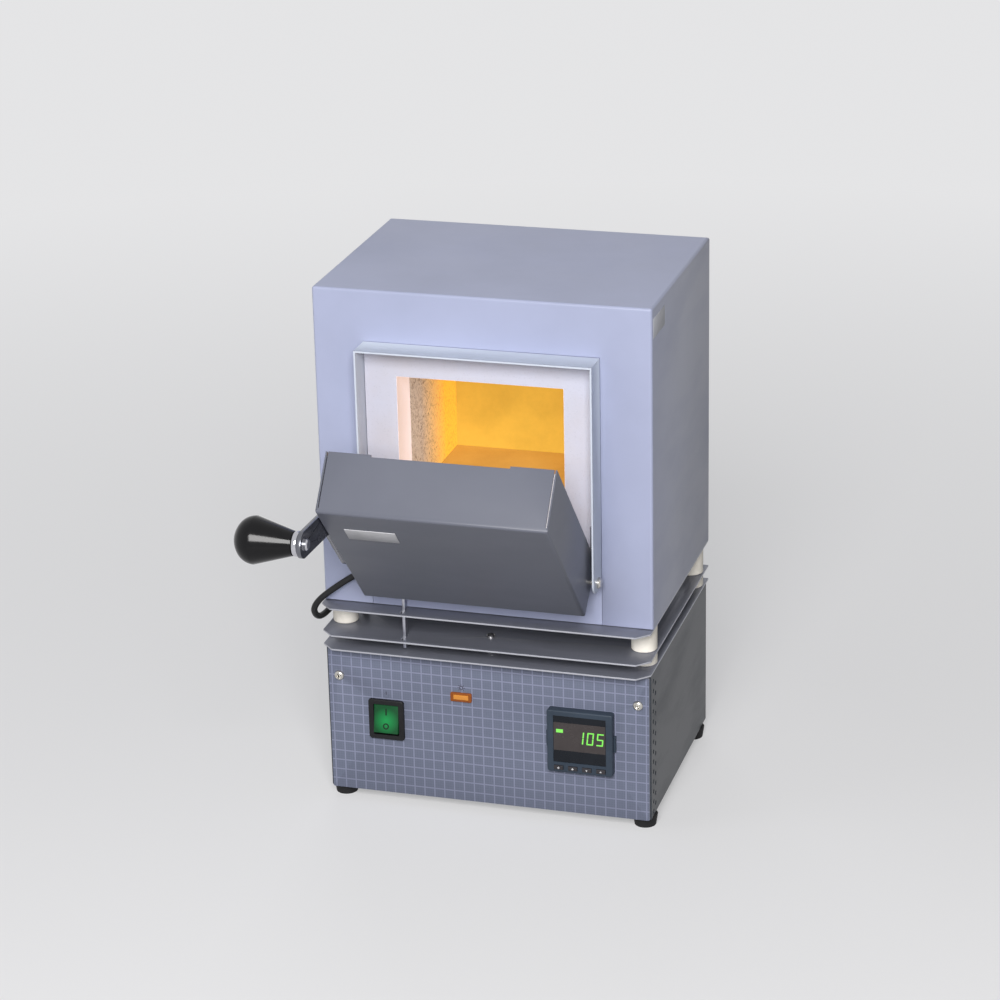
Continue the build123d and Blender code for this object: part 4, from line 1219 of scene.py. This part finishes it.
    def rocker_marks(self) -> None:
        """The line on the rocker's upper half and the circle on its lower half, both riding on it."""
        thick = self.raised
        pivot = DATUM.at(self.rocker_centre[0], self.rocker_pivot_y, self.rocker_centre[1])
        tilt = Matrix.Translation(pivot) @ Matrix.Rotation(radians(-self.rocker_tilt), 4, "X")
        line = box_mesh(Vector((-0.55, -thick, -2.6)) * MM, Vector((0.55, 0.0, 2.6)) * MM, 0.03 * MM)
        circle = self.ring(0.0, 0.0, 2.3, 1.35, 0.0, thick)
        bmesh.ops.translate(circle, verts=circle.verts, vec=-DATUM.at(0.0, 0.0, 0.0))
        for mark, height, lean in ((line, 5.4, self.face_lean), (circle, -5.4, -self.face_lean)):
            depth = self.rocker_face + abs(height) * sin(radians(self.face_lean))
            seat = Matrix.Translation(Vector((0.0, -depth, height)) * MM)
            move(mark, tilt @ seat @ Matrix.Rotation(radians(lean), 4, "X"))
        self.shop.piece("rocker_marks", merge([line, circle]), "rocker_ink", Body.ROCKER, "black_plastic",
                        smooth=False)


@dataclass
class Plate:
    """A thin blank plate, given in the casing's millimetres with the door shut."""

    shop: Shop
    name: str
    finish: str
    body: Body
    slot: str
    low: Point
    high: Point
    bevel: float
    swing: float = 0.0

    def build(self) -> None:
        """Makes the plate and turns it about the hinge line."""
        mesh = box_mesh(Vector(self.low) * MM, Vector(self.high) * MM, self.bevel * MM)
        swing = Matrix.Translation(DATUM.at(0, *HINGE)) @ Matrix.Rotation(self.swing, 4, "X")
        move(mesh, swing @ Matrix.Translation(-Vector((0.0, *HINGE)) * MM))
        self.shop.piece(self.name, mesh, self.finish, self.body, self.slot)


@dataclass
class Ferrule:
    """Rounded ring between the handle arm and the knob."""

    shop: Shop
    bulge: float = 1.5
    bore: float = 2.8

    def build(self) -> None:
        """Spins the ring in place of the plain one."""
        low, high = (Vector(c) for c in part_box("handle_ferrule"))
        middle = (low + high) / 2
        length = (high.x - low.x) / MM
        radius = (high.z - low.z) / 2 / MM
        core = radius - self.bulge
        profile = [(0.0, self.bore), (0.0, core)]
        for step in range(9):
            angle = radians(180.0 - 180.0 * step / 8)
            profile.append((length / 2 + cos(angle) * (length / 2), core + sin(angle) * self.bulge))
        profile += [(length, core), (length, self.bore), (0.0, self.bore)]
        ring = lathe(profile, Vector((low.x, middle.y, middle.z)), Vector((1, 0, 0)), 72)
        obj = self.shop.piece("ferrule_ring", ring, "chrome_plate", Body.DOOR, "chrome_plate", crease=50.0)
        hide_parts("handle_ferrule")


# Stage: camera, light and floor

@dataclass
class Studio:
    """A pale floor, soft light and the camera at the photograph's view."""

    camera_place: Point = (588.85, -1920.48, 1015.88)
    yaw: float = 16.727
    pitch: float = 21.117
    roll: float = -1.293
    focal: float = 111.63
    ambient: float = 0.145
    sky: Colour = (0.80, 0.82, 0.86)
    pale: Colour = (0.78, 0.78, 0.79)
    dull: Colour = (0.13, 0.13, 0.14)
    near: float = 0.35
    far: float = 1.7
    even_share: float = 0.45
    aim: Point = (0.0, 0.0, 0.2)
    lamp_size: float = 1.2

    def build(self) -> None:
        """Builds floor, world, lamps and camera."""
        bpy.context.scene.view_settings.view_transform = "Standard"
        self.camera()
        self.world()
        self.floor()
        self.lamps()

    def camera(self) -> None:
        """Places the camera from its yaw, pitch and roll."""
        data = bpy.data.cameras.new("camera")
        data.sensor_width = 36.0
        data.lens = self.focal
        data.clip_start, data.clip_end = 0.05, 60.0
        obj = link("camera", data)
        yaw, pitch, roll = radians(self.yaw), radians(self.pitch), radians(self.roll)
        level = Vector((-sin(yaw), cos(yaw), 0.0))
        side = Vector((cos(yaw), sin(yaw), 0.0))
        plumb = Vector((0.0, 0.0, 1.0))
        ahead = level * cos(pitch) - plumb * sin(pitch)
        above = plumb * cos(pitch) + level * sin(pitch)
        right = side * cos(roll) + above * sin(roll)
        up = above * cos(roll) - side * sin(roll)
        frame_axes = Matrix((right, up, -ahead)).transposed().to_4x4()
        obj.matrix_world = Matrix.Translation(DATUM.at(*self.camera_place)) @ frame_axes
        bpy.context.scene.camera = obj

    def world(self) -> None:
        """Soft grey light, and a pale background for the camera and for reflections."""
        world = bpy.data.worlds.new("studio")
        bpy.context.scene.world = world
        g = Graph.of(world)
        light = g.add("ShaderNodeBackground", Color=(*self.sky, 1.0), Strength=self.ambient)
        pale = g.add("ShaderNodeBackground", Color=(*self.pale, 1.0))
        blend = g.blend(g.seen(), light, pale)
        out = g.add("ShaderNodeOutputWorld")
        g.join(blend.outputs[0], out.inputs["Surface"])

    def floor(self) -> None:
        """A large pale floor under the feet."""
        mesh = bmesh.new()
        bmesh.ops.create_grid(mesh, x_segments=1, y_segments=1, size=12.0)
        obj = link("floor", to_data("floor", mesh))
        obj.data.materials.append(self.floor_material())

    def floor_material(self) -> bpy.types.Material:
        """A floor that looks pale and keeps the shadow, and throws back little light.

        Returns:
            The material.
        """
        material = bpy.data.materials.new("floor_pale")
        g = Graph.of(material)
        lit = g.add("ShaderNodeBsdfDiffuse", Color=(*self.pale, 1.0))
        even = g.add("ShaderNodeEmission", Color=(*self.pale, 1.0))
        coords = g.add("ShaderNodeTexCoord")
        reach = g.add("ShaderNodeVectorMath", operation="LENGTH")
        g.join(coords.outputs["Object"], reach.inputs[0])
        pale = g.blend(g.ramp(reach.outputs["Value"], self.near, self.far, self.even_share, 1.0), lit, even)
        dull = g.add("ShaderNodeBsdfDiffuse", Color=(*self.dull, 1.0))
        blend = g.blend(g.seen(), dull, pale)
        out = g.add("ShaderNodeOutputMaterial")
        g.join(blend.outputs[0], out.inputs["Surface"])
        return material

    def lamp(self, name: str, place: Point, watts: float, tint: Colour, glints: bool = True) -> None:
        """One soft area lamp.

        Args:
            name: The lamp's name.
            place: Where it stands, in metres.
            watts: Power.
            tint: Colour.
            glints: Whether it shows in reflections.
        """
        data = bpy.data.lights.new(name, "AREA")
        data.shape = "SQUARE"
        data.size = self.lamp_size
        data.energy = watts
        data.color = tint
        obj = link(name, data)
        obj.visible_glossy = glints
        turn = (Vector(self.aim) - Vector(place)).to_track_quat("-Z", "Y")
        obj.matrix_world = Matrix.Translation(Vector(place)) @ turn.to_matrix().to_4x4()

    def lamps(self) -> None:
        """A key from the front, a weak fill from the left and one from above behind."""
        self.lamp("key", (0.48, -2.07, 1.42), 76.0, (1.0, 0.99, 0.98))
        self.lamp("fill", (-1.9, -1.1, 0.9), 9.0, (0.95, 0.97, 1.0), glints=False)
        self.lamp("back", (-0.7, 2.2, 0.9), 13.0, (0.97, 0.98, 1.0), glints=False)


NODE_FINISHES: dict[tuple[str, Bend], str] = {
    ("casing_paint", Bend.CRISP): "furnace_casing furnace_rear_panel",
    ("screw_steel", Bend.NONE): (
        "rear_panel_screws tray_screws tray_standoffs tie_bolts tie_nuts heating_coils thermocouple "
        "hinge_pins stop_screws foot_screws panel_screws"),
    ("sheet_steel", Bend.CRISP): "furnace_base_plate heat_shield_tray cabinet_top_plate",
    ("spacer_ceramic", Bend.NONE): "upper_spacers lower_spacers wire_conduits",
    ("collar_paint_highlight", Bend.SHEET): "door_collar",
    ("front_fibre", Bend.MOULDED): "front_board",
    ("hot_wall", Bend.NONE): "heating_plate_left heating_plate_right chamber_roof",
    ("hearth_fibre", Bend.NONE): "hearth_plate",
    ("back_glow", Bend.NONE): "chamber_back",
    ("door_fibre", Bend.NONE): "insulation_top insulation_bottom insulation_sides insulation_rear",
    ("door_paint", Bend.SHEET): "door_shell",
    ("door_fibre", Bend.MOULDED): "door_insulation",
    ("arm_steel", Bend.SHEET): "handle_arm",
    ("chrome_plate", Bend.NONE): "arm_screws handle_ferrule handle_screw",
    ("knob_plastic", Bend.NONE): "handle_knob",
    ("strap_steel", Bend.CRISP): "interlock_strap",
    ("black_plastic", Bend.NONE): "door_switch switch_plunger cord_gland power_switch_body controller_case",
    ("dark_paint", Bend.NONE): "cabinet_shell",
    ("dark_paint", Bend.CRISP): "cabinet_rear_panel",
    ("pale_plastic", Bend.NONE): "heater_relay terminal_block",
    ("panel_print", Bend.CRISP): "control_panel",
    ("rocker_green", Bend.SHEET): "power_rocker",
    ("lamp_plastic", Bend.CRISP): "lamp_bezel",
    ("lamp_amber", Bend.NONE): "lamp_lens",
    ("frame_plastic", Bend.NONE): "controller_frame",
    ("window_plastic", Bend.NONE): "controller_window",
    ("button_plastic", Bend.NONE): (
        "controller_button_1 controller_button_2 controller_button_3 controller_button_4"),
    ("foot_rubber", Bend.NONE): "rubber_feet",
    ("foot_rubber", Bend.CRISP): "lead_glands",
    ("lead_sheath", Bend.NONE): "lead",
}


def main() -> None:
    """Builds the whole scene in order."""
    Studio().build()
    finishes = Finishes()
    finishes.build()
    shop = Shop(finishes)
    Lead(shop).build()
    Dresser(finishes).dress_all(NODE_FINISHES)
    badge = Plate(shop, "door_badge", "mark_ink", Body.DOOR, "sheet_steel", (-65.3, -47.7, 303.5),
                  (-29.5, -47.2, 318.0), 0.15, DOOR_ANGLE)
    label = Plate(shop, "side_label", "label_sheet", Body.FURNACE, "block_plastic", (120.5, 3.0, 365.4),
                  (120.65, 36.0, 379.4), 0.05)
    for part in (ControlFront(shop), badge, label, Ferrule(shop)):
        part.build()
        log.info("built %s", type(part).__name__)


if __name__ == "__main__":
    main()
